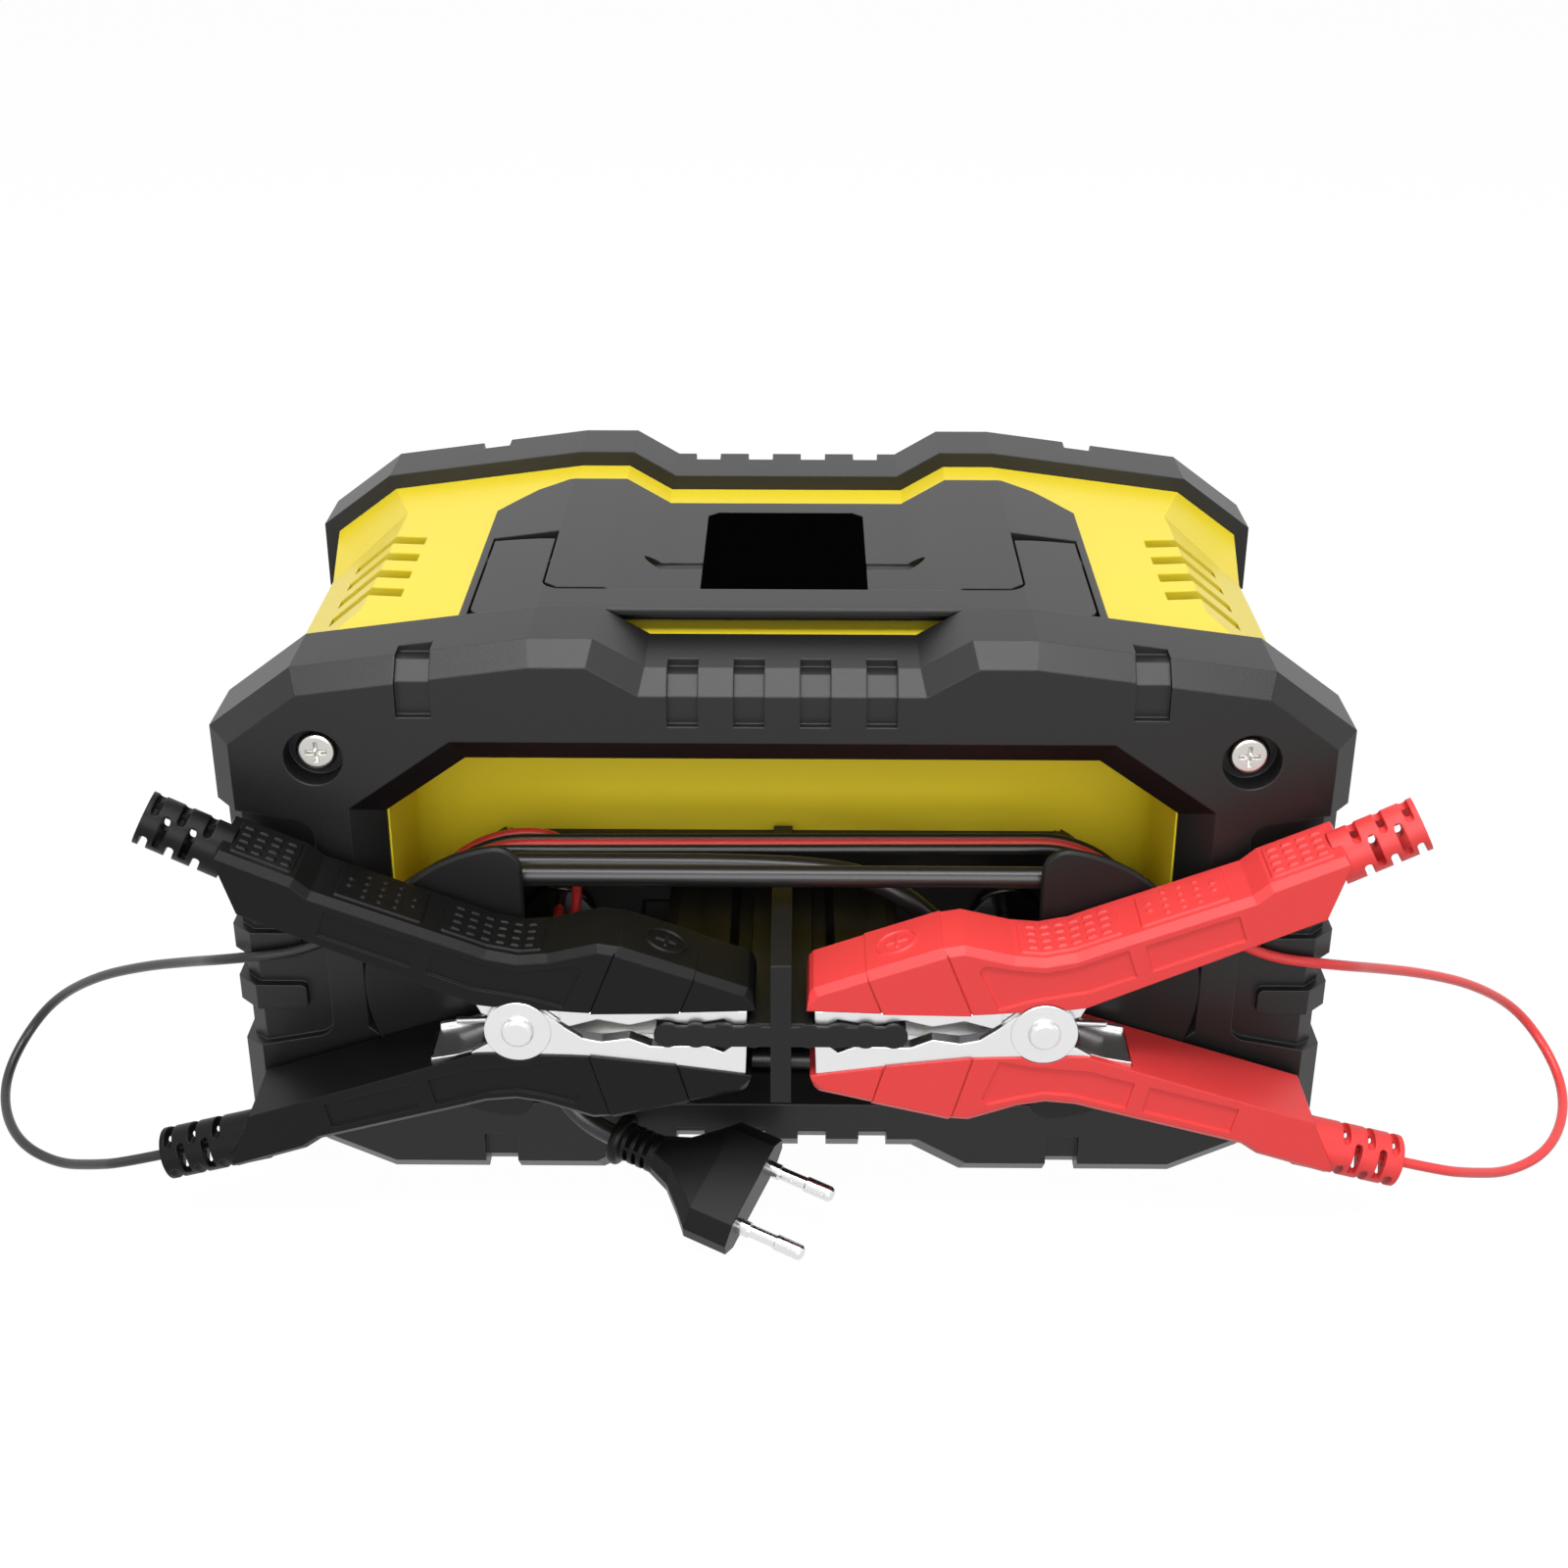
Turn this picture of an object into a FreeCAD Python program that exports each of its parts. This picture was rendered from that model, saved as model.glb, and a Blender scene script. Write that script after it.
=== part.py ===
import FreeCAD, Part
import math
import os

os.makedirs("parts", exist_ok=True)
V = FreeCAD.Vector

# Car battery charger on its two end guards, with the cords wound in a bay at the near end.
# Millimetres. X to the right, Y away from the bay, Z up, origin on the floor under the whole.
# Everything is drawn about the housing's own middle and moved by unit_y when it is saved.

# Housing
width = 260.0
height = 142.2
depth = 166.6
unit_y = 12.25
guard_depth = 24.9
guard_chamfer = 5.0
valley_half = 30.8
valley_drop = 6.8
crown_in = 42.4
crown_out = 56.9
shoulder_in = 19.35
shoulder_drop = 7.2
corner_drop = 21.5
corner_rise = 18.7
heel_in = 17.7
heel_rise = 7.6
foot_out = 96.3
foot_in = 44.2
foot_valley = 32.1
foot_valley_rise = 7.0
shell_step = 4.0
wall = 2.6
waist_half = 35.0
waist_break = 102.0
waist_in = 6.0
waist_corner_drop = 30.0
waist_corner_rise = 28.0
split_z = 71.0
joint_gap = 0.2

# Guard openings, slots, recesses and screws
opening_half = 99.0
opening_top_half = 75.0
opening_top_z = 119.0
opening_slant_z = 102.0
opening_low_slant_z = 44.0
opening_low_z = 22.3
opening_bevel = 7.2
opening_low_bevel = 4.2
opening_slant_bevel = 5.2
opening_land = 1.2
liner_lip = 0.4
liner_low_z = 46.0
bay_corner = 6.5
valley_slots = 4
valley_slot_pitch = 14.9
valley_slot_width = 6.9
slot_depth = 2.0
slot_start = 10.3
wing_slot_x = 82.6
wing_slot_width = 7.9
foot_slot_x = 69.0
recess_in_x = 107.5
recess_flare = 2.2
recess_corner = 4.0
recess_low_z = 39.5
recess_high_z = 100.4
recess_depth = 2.1
tab_in_x = 113.0
tab_height = 6.5
tab_levels = (51.8, 66.0, 80.2)
screw_x = 106.0
screw_high_z = 114.8
screw_low_z = 25.0
screw_bore = 13.5
screw_sink = 6.3
screw_head = 9.5
screw_head_height = 3.2
screw_shank = 5.0
screw_reach = 10.0
boss_radius = 5.5

# Vents in the shoulders
vent_count = 4
vent_pitch = 12.4
vent_width = 5.4
vent_in_x = 93.3
vent_out_x = 113.8
vent_skew = 9.2
vent_far_y = 9.8

# Saddle panel, label and handle
saddle_far_y = 37.0
saddle_step = 0.8
tub_wall = 1.8
handle_out = 72.9
handle_corner = 5.0
handle_in = 57.4
handle_gap = 0.6
handle_step = 0.9
handle_near_y = -57.2
bar_far_y = -44.9
bar_skin = 1.8
bar_wall = 3.1
bar_drop = 11.8
pivot_y = -11.5
pivot_drop = 7.7
handle_tail = 6.8
handle_fillet = 5.0
handle_pin = 2.4
pin_fit = 0.05
tub_floor_gap = 0.8
collar_half = 41.0
collar_back_y = -49.0
label_half = 20.5
label_gap = 1.0
label_far_y = 29.7
label_sink = 0.8
label_thick = 0.6

# Bay, cord posts and clamp cross
bay_wall_y = -36.0
bay_floor_z = 17.0
back_plate_half = 70.0
back_plate_top = 73.0
back_plate_thick = 2.4
slot_low_z = 19.5
slot_high_z = 50.5
slot_columns = (8.5, 14.5, 20.5, 26.5)
slot_width = 3.0
post_in = 37.7
post_z = 57.0
post_radius = 23.2
post_flat_in = 31.0
post_wall = 2.4
post_neck = 18.8
post_step_y = -54.0
flange_radius = 37.3
flange_flat_in = 39.0
flange_thick = 1.6
flange_front = 1.9
flange_corner = 6.0
rib_thick = 4.7
rib_low_z = 39.0
rib_high_z = 75.4
cross_front_y = -107.5
tongue_up = 2.9
tongue_down = 3.3
tongue_face = 0.9
bump_radius = 3.1
bump_pitch = 6.5
bump_count = 4
grommet_x = 57.0
grommet_z = 49.5
grommet_flange = 9.5
grommet_neck = 7.5
lead_bore_rise = 3.2

# Clamps
clamp_x = 60.0
clamp_z = 57.1
clamp_front_y = -106.4
clamp_width = 20.0
clamp_scale = 1.0
lever_plate = 2.0
lever_web = 2.2
lever_bevel = 1.6
lever_opening = 6.0
lever_hollow_end = 21.0
heel_end = 20.6
steel_sink = 0.4
ear_radius = 7.6
ear_play = 0.3
inner_ear_radius = 7.3
jaw_plate = 3.4
clamp_pin = 2.5
clamp_pin_dome = 3.75
spring_radius = 5.0
spring_wire = 1.6
spring_pitch = 2.25
relief_radius = 6.2
relief_bore = 4.3
relief_slot = 1.9
relief_step = 3.05
relief_slots = 5

# Cords
mains_dia = 5.2
lead_dia = 2.5
lead_play = 0.15
mains_turn = 26.0
lead_turn = 27.0
mains_pitch = 5.9
lead_pitch = 5.8
mains_back_y = -73.3
lead_first_y = -59.7

# Plug
plug_width = 31.0
plug_flat = 23.0
plug_thick = 11.6
plug_edge = 4.0
plug_neck = 9.4
plug_neck_end = 11.0
plug_wide_at = 26.0
plug_lean = 27.0
plug_ring_at = V(-39.8, -90.8, 17.6)
plug_face_at = V(-6.3, -104.8, 10.45)
plug_pin_dia = 3.8
plug_pin_length = 17.0
plug_pin_span = 16.6
plug_pin_collar = 3.0

# Far end
panel_thick = 3.0
lens_half = 30.0
lens_low_z = 78.0
lens_high_z = 104.0
button_radius = 6.5
button_z = 60.0
button_step = 24.0
button_travel = 1.6
button_play = 0.06
led_count = 5

# Inside
fan_size = 60.0
fan_depth = 15.0
fan_bore = 28.0
fan_z = 46.0
board_thick = 1.6
board_z = 20.0
board_left = -34.0
board_right = 98.0
board_near = -12.0
board_far = 48.0
core_width = 46.0
core_depth = 48.0
core_height = 56.0

half_w = width / 2
saddle_half = handle_out + 2.4
pivot_z = height - pivot_drop
bar_under_z = height - bar_drop
post_x = opening_half - post_in
post_flat_x = opening_half - post_flat_in
flange_flat_x = opening_half - flange_flat_in
front = -depth / 2
guard_back = front + guard_depth
shell_end = guard_back + joint_gap
clamp_back_y = clamp_front_y + clamp_width
clamp_mid_y = (clamp_front_y + clamp_back_y) / 2
flange_y = front - flange_front
flange_back_y = flange_y + flange_thick
bay_back_face = bay_wall_y - back_plate_thick


def prism_y(points, y0, y1):
    ring = [V(x, y0, z) for x, z in points]
    return Part.Face(Part.makePolygon(ring + ring[:1])).extrude(V(0, y1 - y0, 0))


def prism_z(points, z0, z1):
    ring = [V(x, y, z0) for x, y in points]
    return Part.Face(Part.makePolygon(ring + ring[:1])).extrude(V(0, 0, z1 - z0))


def prism_x(points, x0, x1):
    ring = [V(x0, y, z) for y, z in points]
    return Part.Face(Part.makePolygon(ring + ring[:1])).extrude(V(x1 - x0, 0, 0))


def box(x0, x1, y0, y1, z0, z1):
    return Part.makeBox(x1 - x0, y1 - y0, z1 - z0, V(x0, y0, z0))


def cyl_y(x, z, radius, y0, y1):
    return Part.makeCylinder(radius, y1 - y0, V(x, y0, z), V(0, 1, 0))


def cyl_x(y, z, radius, x0, x1):
    return Part.makeCylinder(radius, x1 - x0, V(x0, y, z), V(1, 0, 0))


def cyl_z(x, y, radius, z0, z1):
    return Part.makeCylinder(radius, z1 - z0, V(x, y, z0), V(0, 0, 1))


def flip_x(shape):
    return shape.mirror(V(0, 0, 0), V(1, 0, 0))


def flip_y(shape):
    return shape.mirror(V(0, 0, 0), V(0, 1, 0))


def fuse(shapes):
    return shapes[0].multiFuse(shapes[1:]).removeSplitter() if len(shapes) > 1 else shapes[0]


def cut(shape, tools):
    return shape.cut(Part.makeCompound(tools))


def biggest(shape):
    return max(shape.Solids, key=lambda s: s.Volume)


def both_sides(half):
    return half + [(-x, z) for x, z in reversed(half)]


def inset(points, step):
    """Moves every edge of a clockwise outline inwards; step is one value or one for each edge."""
    steps = step if isinstance(step, (list, tuple)) else [step] * len(points)
    lines = []
    for i, (x0, z0) in enumerate(points):
        x1, z1 = points[(i + 1) % len(points)]
        run = math.hypot(x1 - x0, z1 - z0)
        nx, nz = (z1 - z0) / run, -(x1 - x0) / run
        lines.append((nx, nz, nx * x0 + nz * z0 + steps[i]))
    out = []
    for i in range(len(points)):
        a0, b0, c0 = lines[i - 1]
        a1, b1, c1 = lines[i]
        det = a0 * b1 - a1 * b0
        out.append(((c0 * b1 - c1 * b0) / det, (a0 * c1 - a1 * c0) / det))
    return out


def ring_y(points, y):
    ring = [V(x, y, z) for x, z in points]
    return Part.makePolygon(ring + ring[:1])


def loft_y(sections):
    return Part.makeLoft([ring_y(points, y) for points, y in sections], True, True)


saved = []


def save(name, shape):
    shape = shape.copy()
    shape.translate(V(0, unit_y, 0))
    solids = shape.Solids
    bad = [s for s in solids if not s.isValid() or s.Volume <= 0]
    print("%-18s solids %d  volume %.0f%s" % (name, len(solids), shape.Volume, "  BAD" if bad else ""))
    out = solids[0] if len(solids) == 1 else Part.makeCompound(solids)
    out.exportStep("parts/%s.step" % name)
    saved.append(name)


# Outlines that the guards, the shells and the saddle share
guard_half = [
    (valley_half, height - valley_drop),
    (crown_in, height),
    (crown_out, height),
    (half_w - shoulder_in, height - shoulder_drop),
    (half_w, height - corner_drop),
    (half_w, corner_rise),
    (half_w - heel_in, heel_rise),
    (foot_out, 0.0),
    (foot_in, 0.0),
    (foot_valley, foot_valley_rise),
]
guard_outline = both_sides(guard_half)
shell_outline = inset(guard_outline, shell_step)
slope = shoulder_drop / (half_w - shoulder_in - crown_out)
waist_part = shell_outline[:10]
waist_part[3] = (waist_break, shell_outline[2][1] - (waist_break - shell_outline[2][0]) * slope)
waist_part[4] = (half_w - waist_in, height - waist_corner_drop)
waist_part[5] = (half_w - waist_in, waist_corner_rise)
waist_part[6] = (waist_break, shell_outline[6][1] + 1.5)
waist_outline = both_sides(waist_part)

opening = [
    (opening_top_half, opening_top_z),
    (opening_half, opening_slant_z),
    (opening_half, opening_low_slant_z),
    (opening_top_half, opening_low_z),
    (-opening_top_half, opening_low_z),
    (-opening_half, opening_low_slant_z),
    (-opening_half, opening_slant_z),
    (-opening_top_half, opening_top_z),
]
opening_steps = [opening_bevel] * 8
opening_steps[3] = opening_low_bevel
opening_steps[2] = opening_steps[4] = opening_slant_bevel
opening_inner = inset(opening, opening_steps)
bevel_y = front + opening_bevel
rim_room = inset(opening_inner, -(wall + joint_gap))
rim_y = bevel_y + opening_land


def top_z(x, step):
    """Height of the guard's top line, moved down square to it by step."""
    line = inset(guard_outline, step)[:4]
    line = [(0.0, line[0][1])] + line
    for (x0, z0), (x1, z1) in zip(line, line[1:]):
        if x0 <= abs(x) <= x1:
            return z0 + (z1 - z0) * (abs(x) - x0) / (x1 - x0)
    return line[-1][1]


def top_slot(x0, x1, z_top, run, up):
    """Shallow slot over the chamfered edge of a guard, from its top or its underside."""
    z_in = z_top - up * slot_depth
    far_y = front + slot_start
    bend = guard_chamfer - slot_depth * (2 - math.sqrt(2)) / 1.0
    points = [
        (far_y, z_top + up * 2),
        (far_y, z_in),
        (front + slot_depth + bend, z_in),
        (front + slot_depth, z_in - up * bend),
        (front + slot_depth, z_top - up * run),
        (front - 1, z_top - up * run),
        (front - 1, z_top + up * 2),
    ]
    return prism_x(points, x0, x1)


def make_guard(liner):
    """Guard at the near end; one with a liner has room round its opening for the bay's rim."""
    edge = front + guard_chamfer
    body = loft_y([(inset(guard_outline, guard_chamfer), front), (guard_outline, edge),
                   (guard_outline, guard_back)])
    tools = [loft_y([(inset(opening, -1.0), front - 1.0), (opening_inner, bevel_y)]),
             prism_y(opening_inner, bevel_y, guard_back + 1)]
    if liner:
        room = prism_y(rim_room, rim_y, guard_back + 1)
        tools.append(room.common(box(-width, width, front, 0, liner_low_z - joint_gap, height)))
    for k in range(valley_slots):
        x = (k - (valley_slots - 1) / 2) * valley_slot_pitch
        x0, x1 = x - valley_slot_width / 2, x + valley_slot_width / 2
        tools.append(top_slot(x0, x1, height - valley_drop, height - valley_drop - 123.0, 1))
        tools.append(top_slot(x0, x1, foot_valley_rise, 8.0, -1))
    for side in (-1, 1):
        x = side * wing_slot_x
        tools.append(top_slot(x - wing_slot_width / 2, x + wing_slot_width / 2,
                              top_z(x, 0.0), top_z(x, 0.0) - 125.0, 1))
        x = side * foot_slot_x
        tools.append(top_slot(x - wing_slot_width / 2, x + wing_slot_width / 2, 0.0, 13.0, -1))
        for z in (screw_high_z, screw_low_z):
            tools.append(cyl_y(side * screw_x, z, screw_bore / 2, front - 1, front + screw_sink))
            tools.append(cyl_y(side * screw_x, z, screw_shank / 2 + 0.1, front, guard_back + 1))
    body = cut(body, tools)
    bevel = guard_chamfer - recess_depth * (2 - math.sqrt(2))
    outer = [(recess_in_x, front - 1), (half_w + 1, front - 1), (half_w + 1, guard_back + 1),
             (half_w - recess_depth, guard_back + 1),
             (half_w - recess_depth, front + recess_depth + bevel),
             (half_w - recess_depth - bevel, front + recess_depth),
             (recess_in_x, front + recess_depth)]
    hollow = prism_z(outer, recess_low_z - 2 * recess_flare, recess_high_z + 2 * recess_flare)
    flared = [(recess_in_x, recess_high_z - recess_flare), (half_w + 1, recess_high_z + recess_flare),
              (half_w + 1, recess_low_z - recess_flare), (recess_in_x, recess_low_z + recess_flare)]
    flared = prism_y(flared, front - 2, guard_back + 2)
    inner_edges = [e for e in flared.Edges if e.BoundBox.YLength > 1 and e.BoundBox.XMax < recess_in_x + 1]
    hollow = hollow.common(flared.makeFillet(recess_corner, inner_edges))
    tabs = []
    for z in tab_levels:
        tab = box(tab_in_x, half_w + 2, front - 2, guard_back + 2, z - tab_height / 2, z + tab_height / 2)
        ends = [e for e in tab.Edges if e.BoundBox.YLength > 1 and e.BoundBox.XMax < tab_in_x + 0.1]
        tabs.append(tab.makeFillet(1.4, ends))
    hollow = cut(hollow, tabs)
    return cut(body, [hollow, flip_x(hollow)])


save("near_bumper", make_guard(True))
save("far_bumper", flip_y(make_guard(False)))


def make_screw(x, z):
    seat = front + screw_sink
    head = cyl_y(x, z, screw_head / 2, seat - screw_head_height, seat)
    head = head.makeFillet(1.3, [e for e in head.Edges
                                 if abs(e.BoundBox.YMax - (seat - screw_head_height)) < 1e-6
                                 and e.BoundBox.XLength > 1])
    shank = cyl_y(x, z, screw_shank / 2, seat, shell_end + screw_reach)
    arm, width_ = 2.4, 0.9
    y0 = seat - screw_head_height - 1
    cross = [box(x - arm, x + arm, y0, y0 + 2.6, z - width_ / 2, z + width_ / 2),
             box(x - width_ / 2, x + width_ / 2, y0, y0 + 2.6, z - arm, z + arm)]
    return cut(fuse([head, shank]), cross)


screws = []
for sx in (-1, 1):
    for sz in (screw_high_z, screw_low_z):
        one = make_screw(sx * screw_x, sz)
        screws += [one, flip_y(one)]
save("bumper_screws", Part.makeCompound(screws))

# Housing: a box with a waist, open at the near end for the bay and at the far end for the panel
outer = loft_y([(shell_outline, shell_end), (waist_outline, -waist_half),
                (waist_outline, waist_half), (shell_outline, -shell_end)])
inner_end = shell_end + wall
cavity = loft_y([(inset(shell_outline, wall), inner_end), (inset(waist_outline, wall), -waist_half),
                 (inset(waist_outline, wall), waist_half),
                 (inset(shell_outline, wall), -inner_end)])
bay_inner = inset(opening_inner, liner_lip)
rim_inner = list(bay_inner)
rim_outer = inset(opening_inner, -wall)
bay_inner[2] = (bay_inner[2][0], 34.0)
bay_inner[3] = (opening_inner[3][0], bay_floor_z)
bay_inner[4] = (-opening_inner[3][0], bay_floor_z)
bay_inner[5] = (-bay_inner[2][0], 34.0)
bay_outer = inset(bay_inner, -wall)
bosses = []
holes = []
for sx in (-1, 1):
    for sz in (screw_high_z, screw_low_z):
        for sy in (-1, 1):
            ends = sorted((sy * inner_end, sy * (shell_end + screw_reach + 2)))
            bosses.append(cyl_y(sx * screw_x, sz, boss_radius, ends[0] - 0.5, ends[1] + 0.5))
            ends = sorted((sy * (shell_end - 1), sy * (shell_end + screw_reach)))
            holes.append(cyl_y(sx * screw_x, sz, screw_shank / 2, ends[0], ends[1]))
bosses = [b.common(outer) for b in bosses]
panel_window = box(-72.0, 72.0, -inner_end - 1, -shell_end + 1, 50.0, 110.0)
bay_pass = prism_y(bay_outer, shell_end - 1, bay_wall_y + wall)
shell = cut(cut(outer, [cavity]).multiFuse(bosses).removeSplitter(), holes + [bay_pass, panel_window])

# Handle well for the arms and the bar, with a collar of the housing left under the bar's lip
well_out = handle_out + handle_gap
well_in = handle_in - handle_gap
well_far = pivot_y + handle_tail + 0.5
well_bar = bar_far_y + 2 * handle_gap
well_cut = handle_fillet * 0.56
well_plan = [(-well_out, shell_end), (-well_out, well_far), (-well_in, well_far),
             (-well_in, well_bar + well_cut), (well_cut - well_in, well_bar),
             (well_in - well_cut, well_bar), (well_in, well_bar + well_cut), (well_in, well_far),
             (well_out, well_far), (well_out, shell_end)]
arm_under_z = pivot_z - handle_tail
well_floor = arm_under_z - tub_floor_gap


def grown(plan, by):
    """A well's plan with a wall round it, open towards the guard."""
    out = [(x, max(y, shell_end)) for x, y in inset(plan, -by)]
    return out


tub_plan = grown(well_plan, tub_wall)
tub_out = prism_z(tub_plan, well_floor - 2.0, height)
shell = cut(shell, [tub_out])
collar_top = height - valley_drop - joint_gap
collar = box(-collar_half, collar_half, shell_end, collar_back_y, well_floor - 3.0, collar_top)
shell = shell.fuse(collar).removeSplitter()

vents = []
for k in range(vent_count):
    y = vent_far_y - k * vent_pitch
    for side in (-1, 1):
        plan = [(side * vent_in_x, y - vent_width / 2), (side * vent_in_x, y + vent_width / 2),
                (side * vent_out_x, y + vent_skew + vent_width / 2),
                (side * vent_out_x, y + vent_skew - vent_width / 2)]
        vents.append(prism_z(plan, 100.0, height))
shell = cut(shell, vents)
save("upper_shell", shell.common(box(-half_w, half_w, -depth, depth, split_z, height)))
save("lower_shell", shell.common(box(-half_w, half_w, -depth, depth, 0, split_z)))

# Storage bay and the slotted plate on its back wall
bay = prism_y(bay_outer, shell_end, bay_wall_y + wall)
rim = cut(prism_y(rim_outer, rim_y + joint_gap, shell_end), [prism_y(rim_inner, rim_y, shell_end + 1)])
rim = rim.common(box(-width, width, front, 0, liner_low_z, height))
hollow = prism_y(bay_inner, rim_y, bay_wall_y)
soft = [e for e in hollow.Edges if e.BoundBox.YMin > bay_wall_y - 0.01 and e.BoundBox.ZMax > 60]
bay = fuse([cut(bay, [hollow.makeFillet(bay_corner, soft)]), rim])
air = []
for x in slot_columns:
    for side in (-1, 1):
        air.append(box(side * x - slot_width / 2, side * x + slot_width / 2,
                       bay_back_face - 1, bay_wall_y + wall + 1, slot_low_z, slot_high_z))
neck_holes = [cyl_y(side * grommet_x, grommet_z, grommet_neck, bay_back_face - 1,
                    bay_wall_y + wall + 1) for side in (-1, 1)]
bay = cut(bay, air + neck_holes)
save("storage_bay", bay)
plate_half = back_plate_half
low_half = bay_inner[3][0] - 0.5
plate = prism_y([(plate_half, back_plate_top), (plate_half, bay_floor_z + 8.0),
                 (low_half, bay_floor_z), (-low_half, bay_floor_z),
                 (-plate_half, bay_floor_z + 8.0), (-plate_half, back_plate_top)],
                bay_back_face, bay_wall_y)
dish = loft_y([([(36.0, 54.0), (40.0, bay_floor_z - 1), (-40.0, bay_floor_z - 1), (-36.0, 54.0)],
                bay_back_face - 0.01),
               ([(35.0, 53.0), (39.0, bay_floor_z - 1), (-39.0, bay_floor_z - 1), (-35.0, 53.0)],
                bay_back_face + 1.0)])
plate = cut(plate, [dish] + air + neck_holes)
save("bay_back_plate", plate)


def make_grommet(x, bores):
    neck = cyl_y(x, grommet_z, grommet_neck, bay_back_face, bay_wall_y + wall)
    lip = cyl_y(x, grommet_z, grommet_flange, bay_back_face - 2.5, bay_back_face)
    edge = [e for e in lip.Edges if e.BoundBox.YMax < bay_back_face - 2.4]
    lip = lip.makeFillet(1.2, edge)
    body = fuse([neck, lip])
    return cut(body, [cyl_y(x, z, r, bay_back_face - 5, bay_wall_y + wall + 1) for z, r in bores])


save("lead_grommet", make_grommet(-grommet_x, [(grommet_z - lead_bore_rise, lead_dia / 2),
                                               (grommet_z + lead_bore_rise, lead_dia / 2)]))
save("mains_grommet", make_grommet(grommet_x, [(grommet_z, mains_dia / 2)]))

# Cord posts: half-round post, hollow from the back, with a D-shaped flange in front
post = fuse([cyl_y(post_x, post_z, post_radius, flange_back_y, post_step_y),
             cyl_y(post_x, post_z, post_neck, post_step_y, bay_back_face)])
post = post.common(box(post_flat_x, half_w, front * 2, 0, 0, height))
core = fuse([cyl_y(post_x, post_z, post_radius - post_wall, flange_back_y + post_wall,
                   post_step_y - post_wall),
             cyl_y(post_x, post_z, post_neck - post_wall, post_step_y - post_wall, bay_back_face + 1)])
core = core.common(box(post_flat_x + post_wall, half_w, front * 2, 0, 0, height))
flange = cyl_y(post_x, post_z - 1.0, flange_radius, flange_y, flange_back_y)
flange = flange.common(box(flange_flat_x, half_w, front * 2, 0, 0, height))
flange = flange.makeFillet(flange_corner, [e for e in flange.Edges
                                           if e.BoundBox.YLength > flange_thick - 0.01
                                           and e.BoundBox.XLength < 0.01])
rim = [e for e in flange.Edges if e.BoundBox.YMax < flange_y + 0.01]
flange = flange.makeChamfer(0.6, rim)
winder = cut(fuse([post, flange]), [core])
foot = post.common(box(back_plate_half, half_w, front * 2, 0, 0, height))
foot.translate(V(0, back_plate_thick, 0))
foot = cut(foot, [core.copy(), box(0, half_w, front * 2, bay_back_face, 0, height),
                  prism_y([(post_flat_x, back_plate_top), (back_plate_half, back_plate_top),
                           (back_plate_half, 0), (post_flat_x, 0)], bay_back_face, bay_wall_y)])
core2 = core.copy()
core2.translate(V(0, back_plate_thick, 0))
winder = cut(fuse([winder, foot]), [core, core2])
save("winder_right", winder)
save("winder_left", flip_x(winder))

# Tubes on arcs that meet without a corner
def unit(v):
    v = V(v)
    v.normalize()
    return v


def arc_between(p0, t0, p1):
    """Edge from p0, leaving along t0, to p1: an arc, or a line if it runs straight."""
    chord = p1 - p0
    off = chord - t0 * chord.dot(t0)
    if off.Length < 1e-5 * chord.Length:
        return Part.LineSegment(p0, p1).toShape(), 1e9
    normal = unit(off)
    radius = chord.dot(chord) / (2 * chord.dot(normal))
    centre = p0 + normal * radius
    half = p0 + chord * 0.5 - centre
    mid = centre + unit(half) * radius
    if chord.dot(t0) < 0:
        mid = centre - unit(half) * radius
    return Part.Arc(p0, mid, p1).toShape(), radius


def biarc(p0, t0, p1, t1):
    """Two arcs from p0 along t0 to p1 along t1."""
    v = p1 - p0
    t = t0 + t1
    a = 2 * (1 - t0.dot(t1))
    b = v.dot(t)
    c = v.dot(v)
    d = c / (2 * b) if a < 1e-9 else (-b + math.sqrt(b * b + a * c)) / a
    q0, q1 = p0 + t0 * d, p1 - t1 * d
    joint = (q0 + q1) * 0.5
    e0, r0 = arc_between(p0, t0, joint)
    e1, r1 = arc_between(joint, unit(q1 - q0), p1)
    return [e0, e1], min(r0, r1)


def node_edges(nodes):
    edges, least = [], 1e9
    for (p0, t0), (p1, t1) in zip(nodes, nodes[1:]):
        pair, radius = biarc(p0, t0, p1, t1)
        edges += pair
        least = min(least, radius)
    return edges, least


def route_edges(points):
    """Straight runs joined by tangent arcs."""
    edges, least = [], 1e9
    last = points[0]
    for a, b, c in zip(points, points[1:], points[2:]):
        u, w = unit(b - a), unit(c - b)
        half = math.acos(max(-1.0, min(1.0, u.dot(w)))) / 2
        trim = 0.45 * min((b - a).Length, (c - b).Length)
        radius = trim / math.tan(half)
        least = min(least, radius)
        p0, p1 = b - u * trim, b + w * trim
        centre_way = unit(w - u)
        mid = b + centre_way * (radius / math.cos(half) - radius)
        edges.append(Part.LineSegment(last, p0).toShape())
        edges.append(Part.Arc(p0, mid, p1).toShape())
        last = p1
    edges.append(Part.LineSegment(last, points[-1]).toShape())
    return edges, least


def tube(edges, radius, label, least):
    wire = Part.Wire(edges)
    first = edges[0]
    start = wire.Vertexes[0].Point
    way = unit(first.tangentAt(first.FirstParameter))
    ring = Part.Wire(Part.makeCircle(radius, start, way))
    shell_ = Part.BRepOffsetAPI.MakePipeShell(wire)
    shell_.add(ring)
    shell_.build()
    shell_.makeSolid()
    solid = shell_.shape()
    if solid.Volume < 0:
        solid.reverse()
    want = math.pi * radius ** 2 * wire.Length
    print("%s: length %.0f, least radius %.1f, volume / section x length %.4f"
          % (label, wire.Length, least, solid.Volume / want))
    return solid, wire


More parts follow.
